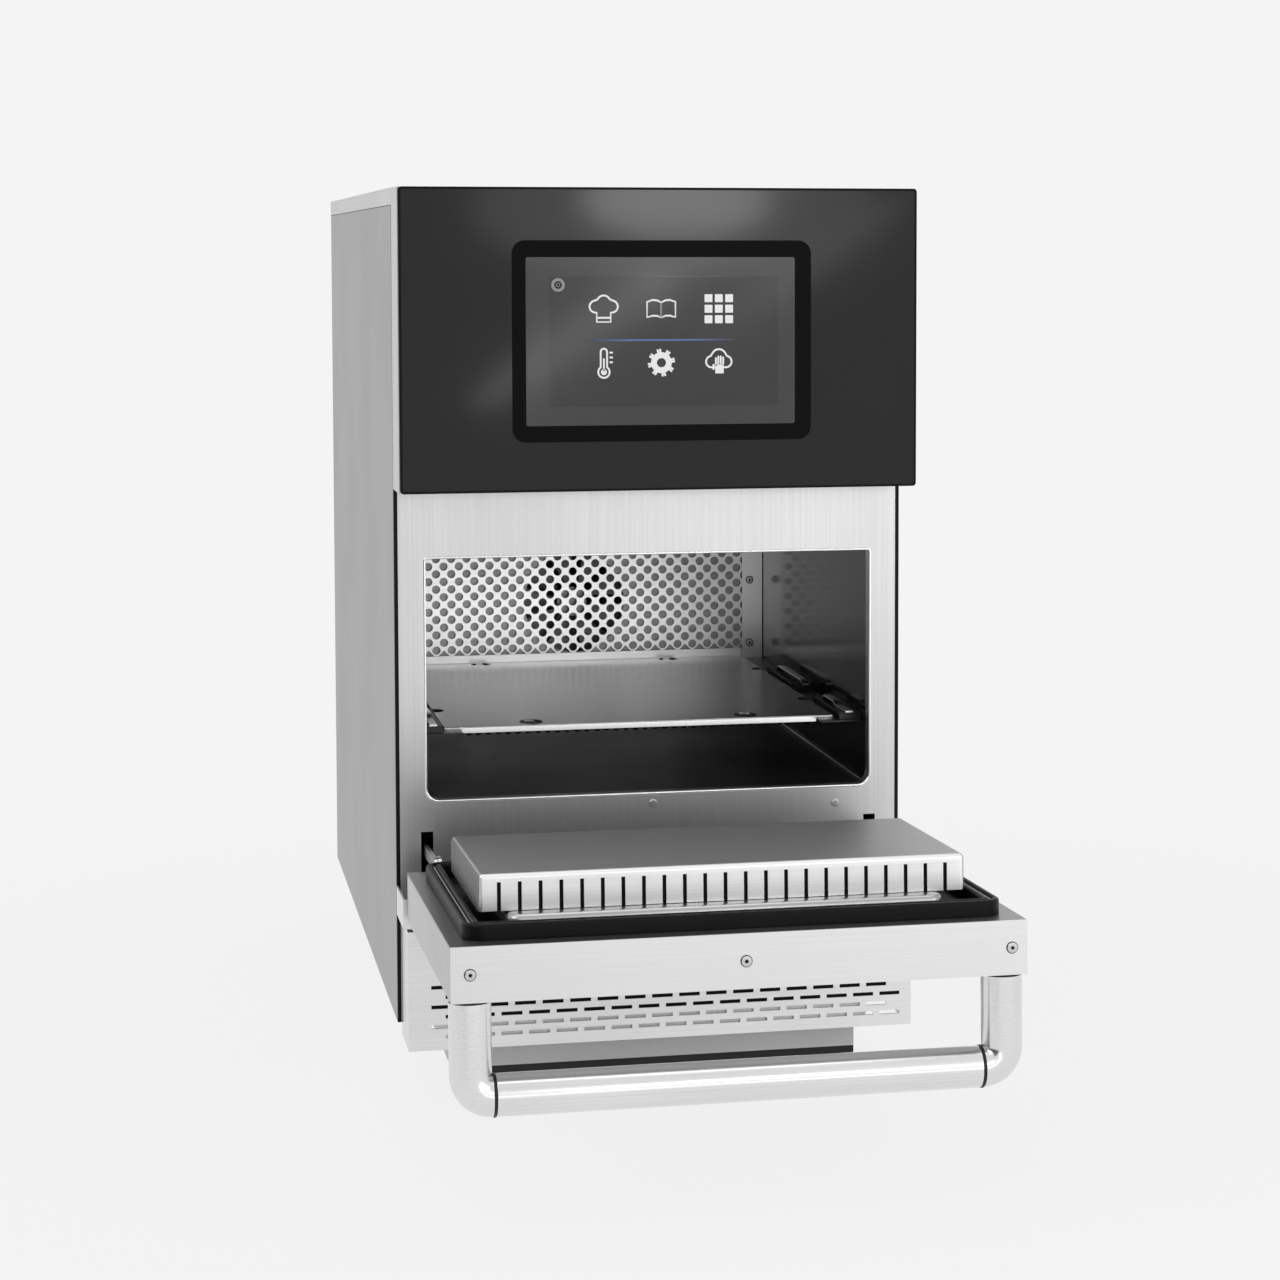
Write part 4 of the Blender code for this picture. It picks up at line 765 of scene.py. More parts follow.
# %% Handle
TUBE_SIDES = 48
TUBE_BEND_GAP = 0.0003
RING_PLACE = 0.1483
RING_WIDTH = 0.0020
CONTACT_SHADE_RISE = 0.0012
CONTACT_SHADE_SMALLER = 0.0008


def make_handle_arm(side):
    sign = SIGN[side]
    bar_low, bar_high = door_box("handle_bar")
    low, high = door_box("handle_arm_" + side)
    radius = (bar_high.z - bar_low.z) / 2
    axis = (bar_low + bar_high) / 2
    axis.x = (high.x if sign > 0 else low.x) - sign * radius
    top = high.z - CONTACT_SHADE_RISE
    bend = radius + TUBE_BEND_GAP
    piece = add_circle("bent_tube_" + side, (axis.x, axis.y, top), radius, TUBE_SIDES, "NGON")
    edit(piece)
    extrude(z=axis.z + bend - top)
    centre = (axis.x - sign * bend, axis.y, axis.z + bend)
    bpy.ops.mesh.spin(steps=14, angle=-sign * math.radians(90), center=centre, axis=(0, 1, 0))
    # The tube runs on a little into the ring, which hides its end.
    extrude(x=-sign * abs(centre[0] - sign * (RING_PLACE + RING_WIDTH)))
    leave()
    complete(piece, "door", TUBE_STEEL, "bright_steel", "handle_arm_" + side, angle=40)
    # A thin black disc at the top of the arm: painted contact shadow under the door.
    contact_shade = add_disc("arm_contact_shade_" + side, (axis.x, axis.y, high.z - CONTACT_SHADE_RISE / 2),
                      radius - CONTACT_SHADE_SMALLER, CONTACT_SHADE_RISE, TUBE_SIDES)
    round_edges(contact_shade, lambda a, b: abs(a.z - b.z) < NEAR, 0.0002, 2)
    complete(contact_shade, "door", BLACK_PLASTIC_AND_SHADE, "black_plastic")
    return piece


def add_bar(name, node, place, width, rim, segments, material, slot):
    """A length of round bar across the handle, with soft rims, that stands for a node."""
    low, high = door_box(node)
    middle = (low + high) / 2
    middle.x = place
    piece = add_disc(name, middle, (high.z - low.z) / 2, width, TUBE_SIDES, LYING)
    round_edges(piece, lambda a, b: abs(a.x - b.x) < NEAR, rim, segments)
    return complete(piece, "door", material, slot, node)


for side, sign in SIGN.items():
    arm = make_handle_arm(side)
    add_bar("grip_ring_" + side, "handle_ring_" + side, sign * (RING_PLACE + RING_WIDTH / 2),
            RING_WIDTH, 0.0006, 3, BLACK_PLASTIC_AND_SHADE, "black_plastic")
    print(arm.name, "faces:", len(arm.data.polygons))
add_bar("straight_grip", "handle_bar", 0, 2 * RING_PLACE, 0.0004, 2, TUBE_STEEL, "bright_steel")

# %% [markdown]
# Hot air leaves the fan through a punched sheet at the back of the oven. One hole in its own
# diamond of steel is modelled with a few faces. Two arrays copy it along the row and up the sheet,
# and a second set, moved by half a pitch, fills the gaps between the first. A plain border hides
# the pointed rim. A guard plate with the fan's round inlet stands close behind, and darker strips
# at both ends.

# %% Perforated grille
HOLE_RADIUS = 0.0034
HOLE_PITCH = 0.0124
HOLE_SIDES = 16
HOLE_RIM = HOLE_RADIUS + 0.0012
GRILLE_COLUMNS = 23
GRILLE_ROWS = 13
GRILLE_LOWEST = 0.2544
GRILLE_THICK = 0.0010
BORDER_Y = (-0.0009, -0.0001)
STRIP_X, STRIP_Y, STRIP_Z = (0.1414, 0.1580), (-0.0008, -0.0001), (0.1985, 0.3720)
GUARD_Y, GUARD_INSET, INLET_RADIUS = (0.0014, 0.0022), 0.004, 0.041
CUT_DEPTH = 0.02


def make_guard():
    low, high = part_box("rear_grille")
    y = [high.y + step for step in GUARD_Y]
    edge = GUARD_INSET
    piece = add_block("fan_guard_plate", (low.x + edge, y[0], low.z + edge),
                      (high.x - edge, y[1], high.z - edge))
    fan = middle_of(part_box("convection_fan"))
    cut_away(piece, add_disc("inlet_cutter", (fan.x, y[0], fan.z), INLET_RADIUS, CUT_DEPTH, 48,
                             STANDING))
    return complete(piece, "body", GUARD_STEEL, "bright_steel")


def add_grille_strip(side):
    """The darker upright strip that the grille's screws go through, at one side."""
    y = [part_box("rear_grille")[0].y + step for step in STRIP_Y]
    piece = add_block("grille_strip_" + side, *zip(side_span(side, *STRIP_X), y, STRIP_Z))
    round_edges(piece, lambda a, b: max(a.y, b.y) < y[0] + NEAR, 0.0003, 2)
    return complete(piece, "body", STRIP_STEEL, "bright_steel")


def make_hole(place):
    """A diamond of sheet with a round hole in it."""
    piece = add_circle("grille_hole", place, HOLE_RADIUS, HOLE_SIDES, "NOTHING", STANDING)
    edit(piece, "EDGE")
    extrude()
    leave()
    for point in piece.data.vertices[HOLE_SIDES:]:
        offset = point.co - Vector(place)
        share = HOLE_PITCH / 2 / (abs(offset.x) + abs(offset.z))
        point.co = Vector(place) + offset * share
    return piece


def make_hole_field(level, shift, rows):
    first = -(GRILLE_COLUMNS - 1) / 2 * HOLE_PITCH + shift
    piece = make_hole((first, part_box("rear_grille")[0].y, level))
    for count, step in ((GRILLE_COLUMNS, (HOLE_PITCH, 0, 0)), (rows, (0, 0, HOLE_PITCH))):
        apply_modifier(piece, "ARRAY", count=count, use_relative_offset=False,
                       use_constant_offset=True, constant_offset_displace=step,
                       use_merge_vertices=True, merge_threshold=5 * HAIR)
    return piece


def make_grille():
    even, half = (GRILLE_ROWS + 1) // 2, HOLE_PITCH / 2
    fields = [make_hole_field(GRILLE_LOWEST, 0, even),
              make_hole_field(GRILLE_LOWEST + half, half, GRILLE_ROWS - even)]
    piece = join(fields, "punched_rear_grille")
    tidy(piece)
    apply_modifier(piece, "SOLIDIFY", thickness=GRILLE_THICK, offset=0)
    bpy.ops.object.shade_smooth_by_angle(angle=math.radians(35))
    return dress(piece, "body", GRILLE_STEEL, "bright_steel", "rear_grille")


def make_grille_border():
    """Four plain strips round the punched field, a little in front of it."""
    low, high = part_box("rear_grille")
    right = (GRILLE_COLUMNS - 1) / 2 * HOLE_PITCH + HOLE_RIM
    bottom = GRILLE_LOWEST - HOLE_RIM
    top = GRILLE_LOWEST + (GRILLE_ROWS - 1) * HOLE_PITCH / 2 + HOLE_RIM
    y = [low.y + step for step in BORDER_Y]
    spans = (
        ((low.x, right), (low.z, bottom)), ((low.x, right), (top, high.z)),
        ((low.x, -right), (bottom, top)), ((right, high.x), (low.z, high.z)),
    )
    piece = join([add_block("border_strip", *zip(x, y, z)) for x, z in spans], "grille_border")
    round_edges(piece, lambda a, b: max(a.y, b.y) < y[0] + HAIR, 0.0003, 2)
    return complete(piece, "body", GRILLE_STEEL, "bright_steel")


make_guard()
for side in SIGN:
    add_grille_strip(side)
grille = make_grille()
make_grille_border()
print("grille faces:", len(grille.data.polygons))

# %% [markdown]
# Small screws hold the sheets. One pan head is modelled lying flat: a disc with a rounded rim, and
# a six-lobed hollow made by pulling every other pair of points inwards. A black ring round the head
# and a black disc at the bottom of its hollow are painted shade in the gap and in the recess.

# %% One screw
SCREW_SIDES = 24
SCREW_RISE = 0.0011
SCREW_HOLLOW = 0.0009
SHADE_RING_WIDTH = 0.0004
SHADE_RING_RISE = 0.0002
HOLLOW_INSET, LOBE_PULL, CORE_SHARE = 0.42, 0.7, 0.30


def make_screw_head(radius):
    piece = add_disc("screw_head", (0, 0, SCREW_RISE / 2), radius, SCREW_RISE, SCREW_SIDES)
    round_edges(piece, lambda a, b: min(a.z, b.z) > SCREW_RISE - HAIR, 0.0005)
    edit(piece, "FACE", lambda centre, normal: normal.z > 0.99)
    bpy.ops.mesh.inset(thickness=radius * HOLLOW_INSET)
    leave()
    ring = [p for p in piece.data.vertices if p.select]
    ring.sort(key=lambda p: math.atan2(p.co.y, p.co.x))
    lobes = {p.index for i, p in enumerate(ring) if i % 4 < 2}
    for point in piece.data.vertices:
        if point.index in lobes:
            point.co.x *= LOBE_PULL
            point.co.y *= LOBE_PULL
    edit(piece, "FACE", lambda centre, normal: normal.z > 0.99 and centre.xy.length < NEAR)
    extrude(z=-SCREW_HOLLOW)
    leave()
    tidy(piece, 30)
    return piece


# A black ring and a black core: painted shade round the head and at the bottom of its hollow.
def make_screw_shade(radius):
    rim = add_disc("rim", (0, 0, SHADE_RING_RISE / 2), radius + SHADE_RING_WIDTH, SHADE_RING_RISE, SCREW_SIDES)
    core = add_disc("core", (0, 0, SCREW_RISE / 2), radius * CORE_SHARE, SCREW_RISE - 0.0003, 12)
    piece = join([rim, core], "screw_painted_shade")
    tidy(piece, 30)
    return piece


print("screw heads rise", SCREW_RISE, "m")

# %% [markdown]
# Copies of the screw, each with its own mesh, now stand where the real screws are: three in the
# door's edge, four in the grille's strips, two in the front sheet and ten round the rear panel. A
# copy is turned so that its own Z axis looks along the direction that the sheet faces.

# %% Screws in their places
DOOR_SCREW, BODY_SCREW = 0.0033, 0.0028
DOOR_SCREW_X = (-0.1640, 0.0010, 0.1660)
GRILLE_SCREWS = ((0.1473, 0.3061), (0.1473, 0.2540), (-0.1473, 0.3061), (-0.1473, 0.2540))
FRAME_SCREWS = ((0.0011, 0.1918), (0.1320, 0.1870))
BACK_SCREW_X = (-0.1710, -0.0600, 0.0600, 0.1710)
BACK_SCREW_Z = (0.0560, 0.3330, 0.6120)
FORWARD, BACKWARD = (0, -1, 0), (0, 1, 0)


def door_screw_places():
    low, high = door_box("door_edge_cap")
    facing = DOOR_AXES.to_3x3() @ Vector(FORWARD)
    height = (low.z + high.z) / 2
    return [("door_edge_screw", DOOR_AXES @ Vector((x, low.y, height)), facing)
            for x in DOOR_SCREW_X]


def body_screw_places():
    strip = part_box("rear_grille")[0].y + BORDER_Y[0]
    places = [("grille_screw", (x, strip, z), FORWARD) for x, z in GRILLE_SCREWS]
    places += [("frame_screw", (x, FRONT, z), FORWARD) for x, z in FRAME_SCREWS]
    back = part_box("rear_panel")[1].y
    return places + [("back_screw", (x, back, z), BACKWARD) for x in BACK_SCREW_X
                     for z in BACK_SCREW_Z if abs(x) > 0.1 or z != BACK_SCREW_Z[1]]


def set_screws(body, radius, places):
    """Stand a head at every place, and painted shade round and in all but the front sheet's flush
    screws.
    """
    # The seat is the black ring and core: painted shade round each head and in its hollow.
    head, seat = make_screw_head(radius), make_screw_shade(radius)
    for number, (name, place, facing) in enumerate(places, 1):
        turn = Vector(facing).to_track_quat("Z", "Y").to_matrix().to_4x4()
        parts = [(name, head, SCREW_STEEL)]
        if name != "frame_screw":
            parts.append((body + "_screw_seat", seat, BLACK_TRIM_AND_SHADE))
        for label, model, material in parts:
            piece = link("%s_%d" % (label, number), model.data.copy())
            piece.data.transform(Matrix.Translation(place) @ turn)
            dress(piece, body, material, "bright_steel")
    for model in (head, seat):
        bpy.data.objects.remove(model)
    print("screws on the", body, ":", len(places))


set_screws("door", DOOR_SCREW, door_screw_places())
set_screws("body", BODY_SCREW, body_screw_places())

# %% [markdown]
# Two thin pieces finish the front. A black strip stands in the upright gaps between the side covers
# and the front sheet, as painted shade. The sheet's edge round the oven opening is folded, and shows
# as a narrow bead in a brighter steel, partly painted highlight: a sheet with round corners is inset
# in small steps that rise and fall, and the middle is taken out.

# %% Gap shade and opening edge
GAP_SHADE_WIDTH, GAP_SHADE_Y = 0.0026, (-0.0003, 0.0018)
BEAD_STEPS = ((0.0003, 0.0002), (0.0005, 0.0001), (0.0005, -0.0001), (0.0003, -0.0003))
BEAD_REACH = 0.0010
BEAD_LIFT = 0.0002
OPENING_INSET, OPENING_RISE, OPENING_HEIGHT = 0.0015, 0.0018, 0.168
OPENING_CORNER = 0.0090
OPENING_TOP_CORNER = 0.0020
UPRIGHT = Matrix.Rotation(STANDING[0], 4, "X")


# Black strips in the upright gaps beside the front sheet: painted shade.
def add_gap_shade(side):
    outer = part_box("side_panel_right")[1].x - NEAR
    x = side_span(side, outer - GAP_SHADE_WIDTH, outer)
    y = [FRONT + step for step in GAP_SHADE_Y]
    z = (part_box("side_panel_left")[0].z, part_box("control_housing")[0].z - 0.0003)
    piece = add_block("joint_seal_" + side, *zip(x, y, z))
    round_edges(piece, lambda a, b: max(a.y, b.y) < FRONT and abs(a.z - b.z) > 0.1, 0.0002, 2)
    return complete(piece, "body", SILICONE_AND_SHADE, "black_rubber")


def stand_up(piece, depth):
    """Stand a flat piece upright, with its top to the front and its bottom at a depth."""
    piece.data.transform(Matrix.Translation((0, depth, 0)) @ UPRIGHT)


# The bead's bright steel is partly painted highlight.
def add_opening_bead():
    """The bead round the opening, a little inside the cavity's walls and above its floor."""
    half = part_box("cavity_wall_right")[0].x - OPENING_INSET
    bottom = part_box("cavity_floor")[1].z + OPENING_RISE
    top = bottom + OPENING_HEIGHT
    piece = add_sheet("opening_edge_bead", (-half - BEAD_REACH, bottom - BEAD_REACH),
                      (half + BEAD_REACH, top + BEAD_REACH), 0)
    for corner, test in ((OPENING_CORNER, lambda point: point.y < bottom),
                         (OPENING_TOP_CORNER, lambda point: point.y > top)):
        edit(piece, "VERT", test)
        bpy.ops.mesh.bevel(offset=corner + BEAD_REACH, segments=6, affect="VERTICES")
        leave()
    draw_frame(piece, 0, BEAD_LIFT, BEAD_STEPS)
    stand_up(piece, FRONT)
    return complete(piece, "body", FOLD_HIGHLIGHT_STEEL, "bright_steel", angle=50)


for side in SIGN:
    add_gap_shade(side)
print("opening bead faces:", len(add_opening_bead().data.polygons))

# %% [markdown]
# The head is three plates, each a little in front of the last: the black glass with a matt black
# trim round its edge, the screen's surround with round corners, and the screen itself. All are flat
# sheets with round corners that are raised, stepped inwards for a soft edge, and stood upright.

# %% Control panel
GLASS_CORNER = 0.0025
GLASS_INSET = 0.0012
TRIM_STEPS = ((0.0003, 0.0002), (0.0012, 0), (0.0003, -0.0002))
SURROUND = (-0.1022, 0.1029, 0.4485, 0.5840)
SURROUND_CORNER = 0.009
SCREEN = (-0.0931, 0.0915, 0.4594, 0.5728)
SCREEN_CORNER = 0.0015
SCREEN_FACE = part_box("screen_bezel")[0].y
SOFT_EDGE = ((0.0001, 0.0002), (0.0002, 0.0001))


def flat_outline(name, span, corner):
    """A flat sheet with round corners from its x and z span."""
    x0, x1, z0, z1 = span
    return round_sheet(name, (x0, z0), (x1, z1), 0, corner)


def raise_plate(name, span, corner, back, front, *dressing):
    """An upright plate with round corners and a soft front edge, from its x and z span."""
    piece = flat_outline(name, span, corner)
    edit(piece)
    extrude(z=back - front - total_rise(SOFT_EDGE))
    leave()
    edit(piece, "FACE", lambda centre, normal: normal.z > FACING and centre.z > HAIR)
    step_inwards(SOFT_EDGE)
    leave()
    stand_up(piece, back)
    return complete(piece, "body", *dressing)


def make_panel():
    low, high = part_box("control_glass")
    edge = GLASS_INSET
    span = (low.x + edge, high.x - edge, low.z + edge, high.z - edge)
    raise_plate("front_glass", span, GLASS_CORNER, high.y, low.y,
                PANEL_BLACK, "black_glass", "control_glass")
    trim = flat_outline("glass_edge_trim", (low.x, high.x, low.z, high.z), GLASS_CORNER)
    draw_frame(trim, 0, high.y - low.y - NEAR, TRIM_STEPS)
    stand_up(trim, high.y)
    complete(trim, "body", BLACK_TRIM_AND_SHADE, "black_plastic", angle=50)
    raise_plate("screen_surround", SURROUND, SURROUND_CORNER, low.y, SCREEN_FACE + 0.0002,
                BEZEL_BLACK, "black_plastic", "screen_bezel")
    return raise_plate("screen", SCREEN, SCREEN_CORNER, low.y, SCREEN_FACE,
                       SCREEN_DARK, "display", "touch_display")


print("panel made, screen faces:", len(make_panel().data.polygons))

# %% [markdown]
# The touch screen shows six plain pictures of kitchen things. Lines are thin curves made into
# meshes, and solid shapes are bevelled blocks or discs. Each picture is drawn in millimetres round
# its own middle, then stood on the glass. They are this model's own drawings.

# %% Screen pictures: helpers
MM = 0.001
ICON_LINE = 0.0006
ICON_RISE = 0.00018
ICON_FLATTEN = 0.35


def arc_points(x, y, radius, start, end, steps=10):
    angles = [math.radians(start + (end - start) * i / steps) for i in range(steps + 1)]
    return [(x + radius * math.cos(angle), y + radius * math.sin(angle)) for angle in angles]


def draw_line(points, closed=True):
    """A round line through points in millimetres, as a flattened mesh that lies in X and Y."""
    curve = bpy.data.curves.new("icon_line", "CURVE")
    curve.dimensions = "3D"
    curve.bevel_depth = ICON_LINE
    curve.bevel_resolution = 1
    curve.use_fill_caps = True
    spline = curve.splines.new("POLY")
    spline.points.add(len(points) - 1)
    for point, (x, y) in zip(spline.points, points):
        point.co = (x * MM, y * MM, 0, 1)
    spline.use_cyclic_u = closed
    select_only(link("icon_line", curve))
    bpy.ops.object.convert(target="MESH")
    piece = bpy.context.active_object
    piece.data.transform(Matrix.Scale(ICON_FLATTEN, 4, (0, 0, 1)))
    return piece


def draw_block(x, y, wide, tall):
    spans = around(x * MM, wide * MM / 2), around(y * MM, tall * MM / 2), (0, ICON_RISE)
    piece = add_block("icon_block", *zip(*spans))
    round_edges(piece, lambda a, b: abs(a.z - b.z) > ICON_RISE / 2, 0.0004, 2)
    return piece


def draw_disc(x, y, radius, sides=28):
    return add_disc("icon_disc", (x * MM, y * MM, ICON_RISE / 2), radius * MM, ICON_RISE, sides)


def stand_on_glass(name, pieces, x, z, material, size=1.0):
    piece = join(pieces, name)
    place = Matrix.Translation((x, SCREEN_FACE - 5 * HAIR, z))
    piece.data.transform(place @ UPRIGHT @ Matrix.Scale(size, 4))
    return complete(piece, "body", material, "display")


print("lines are drawn", 2 * ICON_LINE / MM, "mm wide")

# %% [markdown]
# The six drawings follow: a cook's hat, an open book, a grid of squares, a thermometer, a gear
# wheel and a hand with a cloth. Each function gives the parts of one picture, which are then
# joined.

# %% Screen pictures: the six drawings


def draw_hat():
    outline = [(-4.4, -8), (4.4, -8), (4.4, -2.2)]
    outline += arc_points(5.2, 1.6, 3.7, -80, 75)
    outline += arc_points(0, 4.2, 4.3, 25, 155)
    outline += arc_points(-5.2, 1.6, 3.7, 105, 260)
    return [draw_line(outline + [(-4.4, -2.2)]), draw_line([(-4.4, -5.4), (4.4, -5.4)], False)]


def draw_book():
    page = ((0, -5.4), (2.5, -4.3), (5.5, -4.2), (9, -5.2), (9, 4.4), (5.5, 5.6), (2.5, 5.3),
            (0, 4.0))
    return [draw_line([(sign * x, y) for x, y in page]) for sign in SIGN.values()]


def draw_grid():
    return [draw_block(x, y, 5.0, 5.0) for x in (-6.6, 0, 6.6) for y in (-6.6, 0, 6.6)]


def draw_thermometer():
    outline = arc_points(0, 7.0, 2.0, 0, 180, 8) + arc_points(0, -5.6, 3.6, 124, 416, 16)
    marks = [draw_line([(3.6, y), (5.6, y)], False) for y in (6.5, 3.5, 0.5)]
    return [draw_line(outline), draw_disc(0, -5.6, 1.9), draw_block(0, -1.0, 1.1, 8.0)] + marks


def draw_gear():
    """A disc whose rim is pulled out at every other eighth, with a hole in the middle."""
    piece = draw_disc(0, 0, 6.6, 32)
    edit(piece, "FACE", lambda centre, normal: abs(normal.z) < 0.1 and math.degrees(
        math.atan2(normal.y, normal.x) + math.pi) % 45 < 22.5)
    bpy.ops.mesh.extrude_faces_move(TRANSFORM_OT_shrink_fatten={"value": 0.0021})
    leave()
    hole = draw_disc(0, 0, 2.9)
    hole.data.transform(Matrix.Scale(5, 4, (0, 0, 1)) @ Matrix.Translation((0, 0, -ICON_RISE / 2)))
    cut_away(piece, hole)
    return [piece]


def draw_cloth():
    cloud = arc_points(-4.6, 0.4, 3.6, 100, 265, 8) + arc_points(4.6, 0.4, 3.6, -85, 80, 8)
    cloud += arc_points(0, 3.6, 4.6, 35, 145, 8)
    palm = draw_block(0.4, -4.2, 5.4, 5.6)
    fingers = [draw_block(-1.9 + i * 1.55, 0.4 + rise, 1.15, 5.4)
               for i, rise in enumerate((0, 1.0, 1.1, 0.4))]
    return [draw_line(cloud), palm] + fingers + [draw_block(-3.4, -2.9, 1.3, 3.6)]


DRAWINGS = (draw_hat, draw_book, draw_grid, draw_thermometer, draw_gear, draw_cloth)
print("drawings ready:", len(DRAWINGS))

# %% [markdown]
# The pictures stand in two rows of three, with a fine blue line between the rows and a small round
# sign at the upper left. A thin sheet behind them is the lit part of the screen. The blue fades
# into the lit grey at both ends of its line, so its material mixes the two by the place along X.

# %% Screen pictures on the glass
ICON_X = (-0.0403, -0.0010, 0.0386)
ICON_Z = (0.5378, 0.5015)
ICON_SIZE = 1.08
LIT_X, LIT_Z, LIT_RIM = (-0.0771, 0.0796), (0.4723, 0.5598), 0.0004
LINE_PLACE = (0.0018, 0.5168)
SIGN_PLACE = (-0.0712, 0.5541)
BLUE_ENDS = (-0.0536, 0.0500)
BLUE = (0.09, 0.17, 0.38)


def fading_blue():
    material, tree, shader, where = new_material("icon_blue_fading")
    parts = add_node(tree, "ShaderNodeSeparateXYZ", {"Vector": where})
    along = spread(tree, parts.outputs["X"], 0.0, 1.0, *BLUE_ENDS)
    stops = ((0.0, LIT_GREY), (0.3, BLUE), (0.7, BLUE), (1.0, LIT_GREY))
    feed(tree, shader, {"Base Color": ramp(tree, along, stops), "Roughness": 0.4})
    return material


def add_lit_area():
    """The lit part of the screen: a thin sheet with a raised rim line."""
    y = (SCREEN_FACE - 4 * HAIR, SCREEN_FACE)
    piece = add_block("screen_lit_area", *zip(LIT_X, y, LIT_Z))
    edit(piece, "FACE", lambda centre, normal: normal.y < -FACING)
    bpy.ops.mesh.inset(thickness=LIT_RIM)
    extrude(y=2 * HAIR)
    leave()
    return dress(piece, "body", SCREEN_LIT, "display")


def add_screen_pictures():
    for number, draw in enumerate(DRAWINGS):
        name = draw.__name__.replace("draw", "screen")
        x, z = ICON_X[number % 3], ICON_Z[number // 3]
        stand_on_glass(name, draw(), x, z, ICON_WHITE, ICON_SIZE)
    line = [(x / MM - LINE_PLACE[0] / MM, 0) for x in BLUE_ENDS]
    stand_on_glass("screen_line", [draw_line(line, False)], *LINE_PLACE, fading_blue())
    stand_on_glass("screen_status_dot", [draw_disc(0, 0, 4.6)], *SIGN_PLACE, ICON_GREY)
    ring = [draw_line(arc_points(0, 0, 2.0, 0, 345, 20)), draw_disc(0, 0, 0.9, 16)]
    piece = stand_on_glass("screen_status_ring", ring, *SIGN_PLACE, PANEL_BLACK)
    piece.data.transform(Matrix.Translation((0, -ICON_RISE, 0)))


add_lit_area()
add_screen_pictures()
print("screen pictures stand on the glass at y =", round(SCREEN_FACE, 4))

# %% [markdown]
# The cook plate is sheet with round notches along its edges, so that air can pass, and two oblong
# holes at the front. Its front edge is folded down in a brighter steel, partly painted highlight,
# and under the fold sits a row of small pressed beads, black as painted shade. Bent strips of
# bright spring steel on both rails hold the plate down. A bright line of that steel, partly painted
# highlight, runs where each side wall is folded onto the cavity floor.

# %% Cook plate, beads and rail clips
PLATE_SHEET = 0.0015
HOLE_PLACES = (-0.0770, 0.0785)
HOLE_SIZE = (0.0082, 0.0120)
HOLE_SETBACK = 0.0137
NOTCH_RADIUS = 0.008
NOTCH_PLACES = ((-0.14, 0.245), (-0.14, 0.755), (0.14, 0.245), (0.14, 0.755), (-0.077, 0.977),
                (0.077, 0.977))
FOLD_HALF, FOLD_Y, FOLD_Z = 0.1280, (-0.0007, 0.0008), (0.0002, -0.0005)
LIP_X, LIP_BACK, LIP_Z = (0.1270, 0.1385), 0.0004, (-PLATE_SHEET - 0.0001, -0.0002)
BEAD_PITCH, BEAD_RADIUS, BEAD_TALL, BEAD_BACK, BEAD_DROP = 0.0070, 0.0019, 0.0020, 0.0026, 0.0004
CLIP_X = (0.1464, 0.1518)
CLIP_SHEET, CLIP_START = 0.0011, 0.0010
CLIP_PATHS = (((0.1220, 0.2462), (0.1180, 0.2490), (0.0400, 0.2492), (0.0320, 0.2466)),
              ((-0.0350, 0.2462), (-0.0390, 0.2484), (-0.0690, 0.2484), (-0.0740, 0.2466),
               (-0.1080, 0.2466)))
JOINT_X, JOINT_Y, JOINT_Z = (0.1565, 0.1584), (-0.1180, 0.2290), (0.1972, 0.1990)


def make_plate():
    low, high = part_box("cook_plate")
    piece = add_block("notched_cook_plate", (low.x, low.y, high.z - PLATE_SHEET), high)
    cutters = []
    for x in HOLE_PLACES:
        cutter = add_disc("hole_cutter", (0, 0, 0), 1.0, CUT_DEPTH)
        place = Matrix.Translation((x, low.y + HOLE_SETBACK, high.z))
        cutter.data.transform(place @ Matrix.Diagonal((*HOLE_SIZE, 1, 1)))
        cutters.append(cutter)
    for x, share in NOTCH_PLACES:
        place = (x, low.y + share * (high.y - low.y), high.z)
        cutters.append(add_disc("notch_cutter", place, NOTCH_RADIUS, CUT_DEPTH))
    cut_away(piece, join(cutters, "plate_cutter"))
    round_edges(piece, lambda a, b: (
        max(a.y, b.y) < low.y + NEAR and min(a.z, b.z) > high.z - NEAR), 0.0005)
    return complete(piece, "cook_plate", PLATE_STEEL, "cast_grey", "cook_plate", angle=30)


def add_plate_fold():
    """The folded front edge, with a lower lip at both ends."""
    low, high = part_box("cook_plate")
    front, back = [low.y + step for step in FOLD_Y]
    fold = add_block("fold", (-FOLD_HALF, front, low.z + FOLD_Z[0]),
                     (FOLD_HALF, back, high.z + FOLD_Z[1]))
    round_edges(fold, lambda a, b: max(a.y, b.y) < front + NEAR, 0.0005)
    y, z = (front, low.y + LIP_BACK), [high.z + step for step in LIP_Z]
    lips = [add_block("lip", *zip(side_span(side, *LIP_X), y, z)) for side in SIGN]
    piece = join([fold] + lips, "plate_front_fold")
    return complete(piece, "cook_plate", FOLD_HIGHLIGHT_STEEL, "cast_grey")


# The beads are pressed steel, coloured black as painted shade under the fold.
def add_shaded_plate_beads():
    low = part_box("cook_plate")[0]
    beads = []
    count = int(2 * FOLD_HALF / BEAD_PITCH)
    for i in range(count):
        place = ((i - (count - 1) / 2) * BEAD_PITCH, low.y + BEAD_BACK, low.z - BEAD_DROP)
        bead = add_disc("bead", place, BEAD_RADIUS, BEAD_TALL, 12)
        round_edges(bead, lambda a, b: max(a.z, b.z) < low.z - 0.0010, 0.0006, 2)
        beads.append(bead)
    return complete(join(beads, "plate_beads_painted_shade"), "cook_plate", BLACK_TRIM_AND_SHADE, "cast_grey")


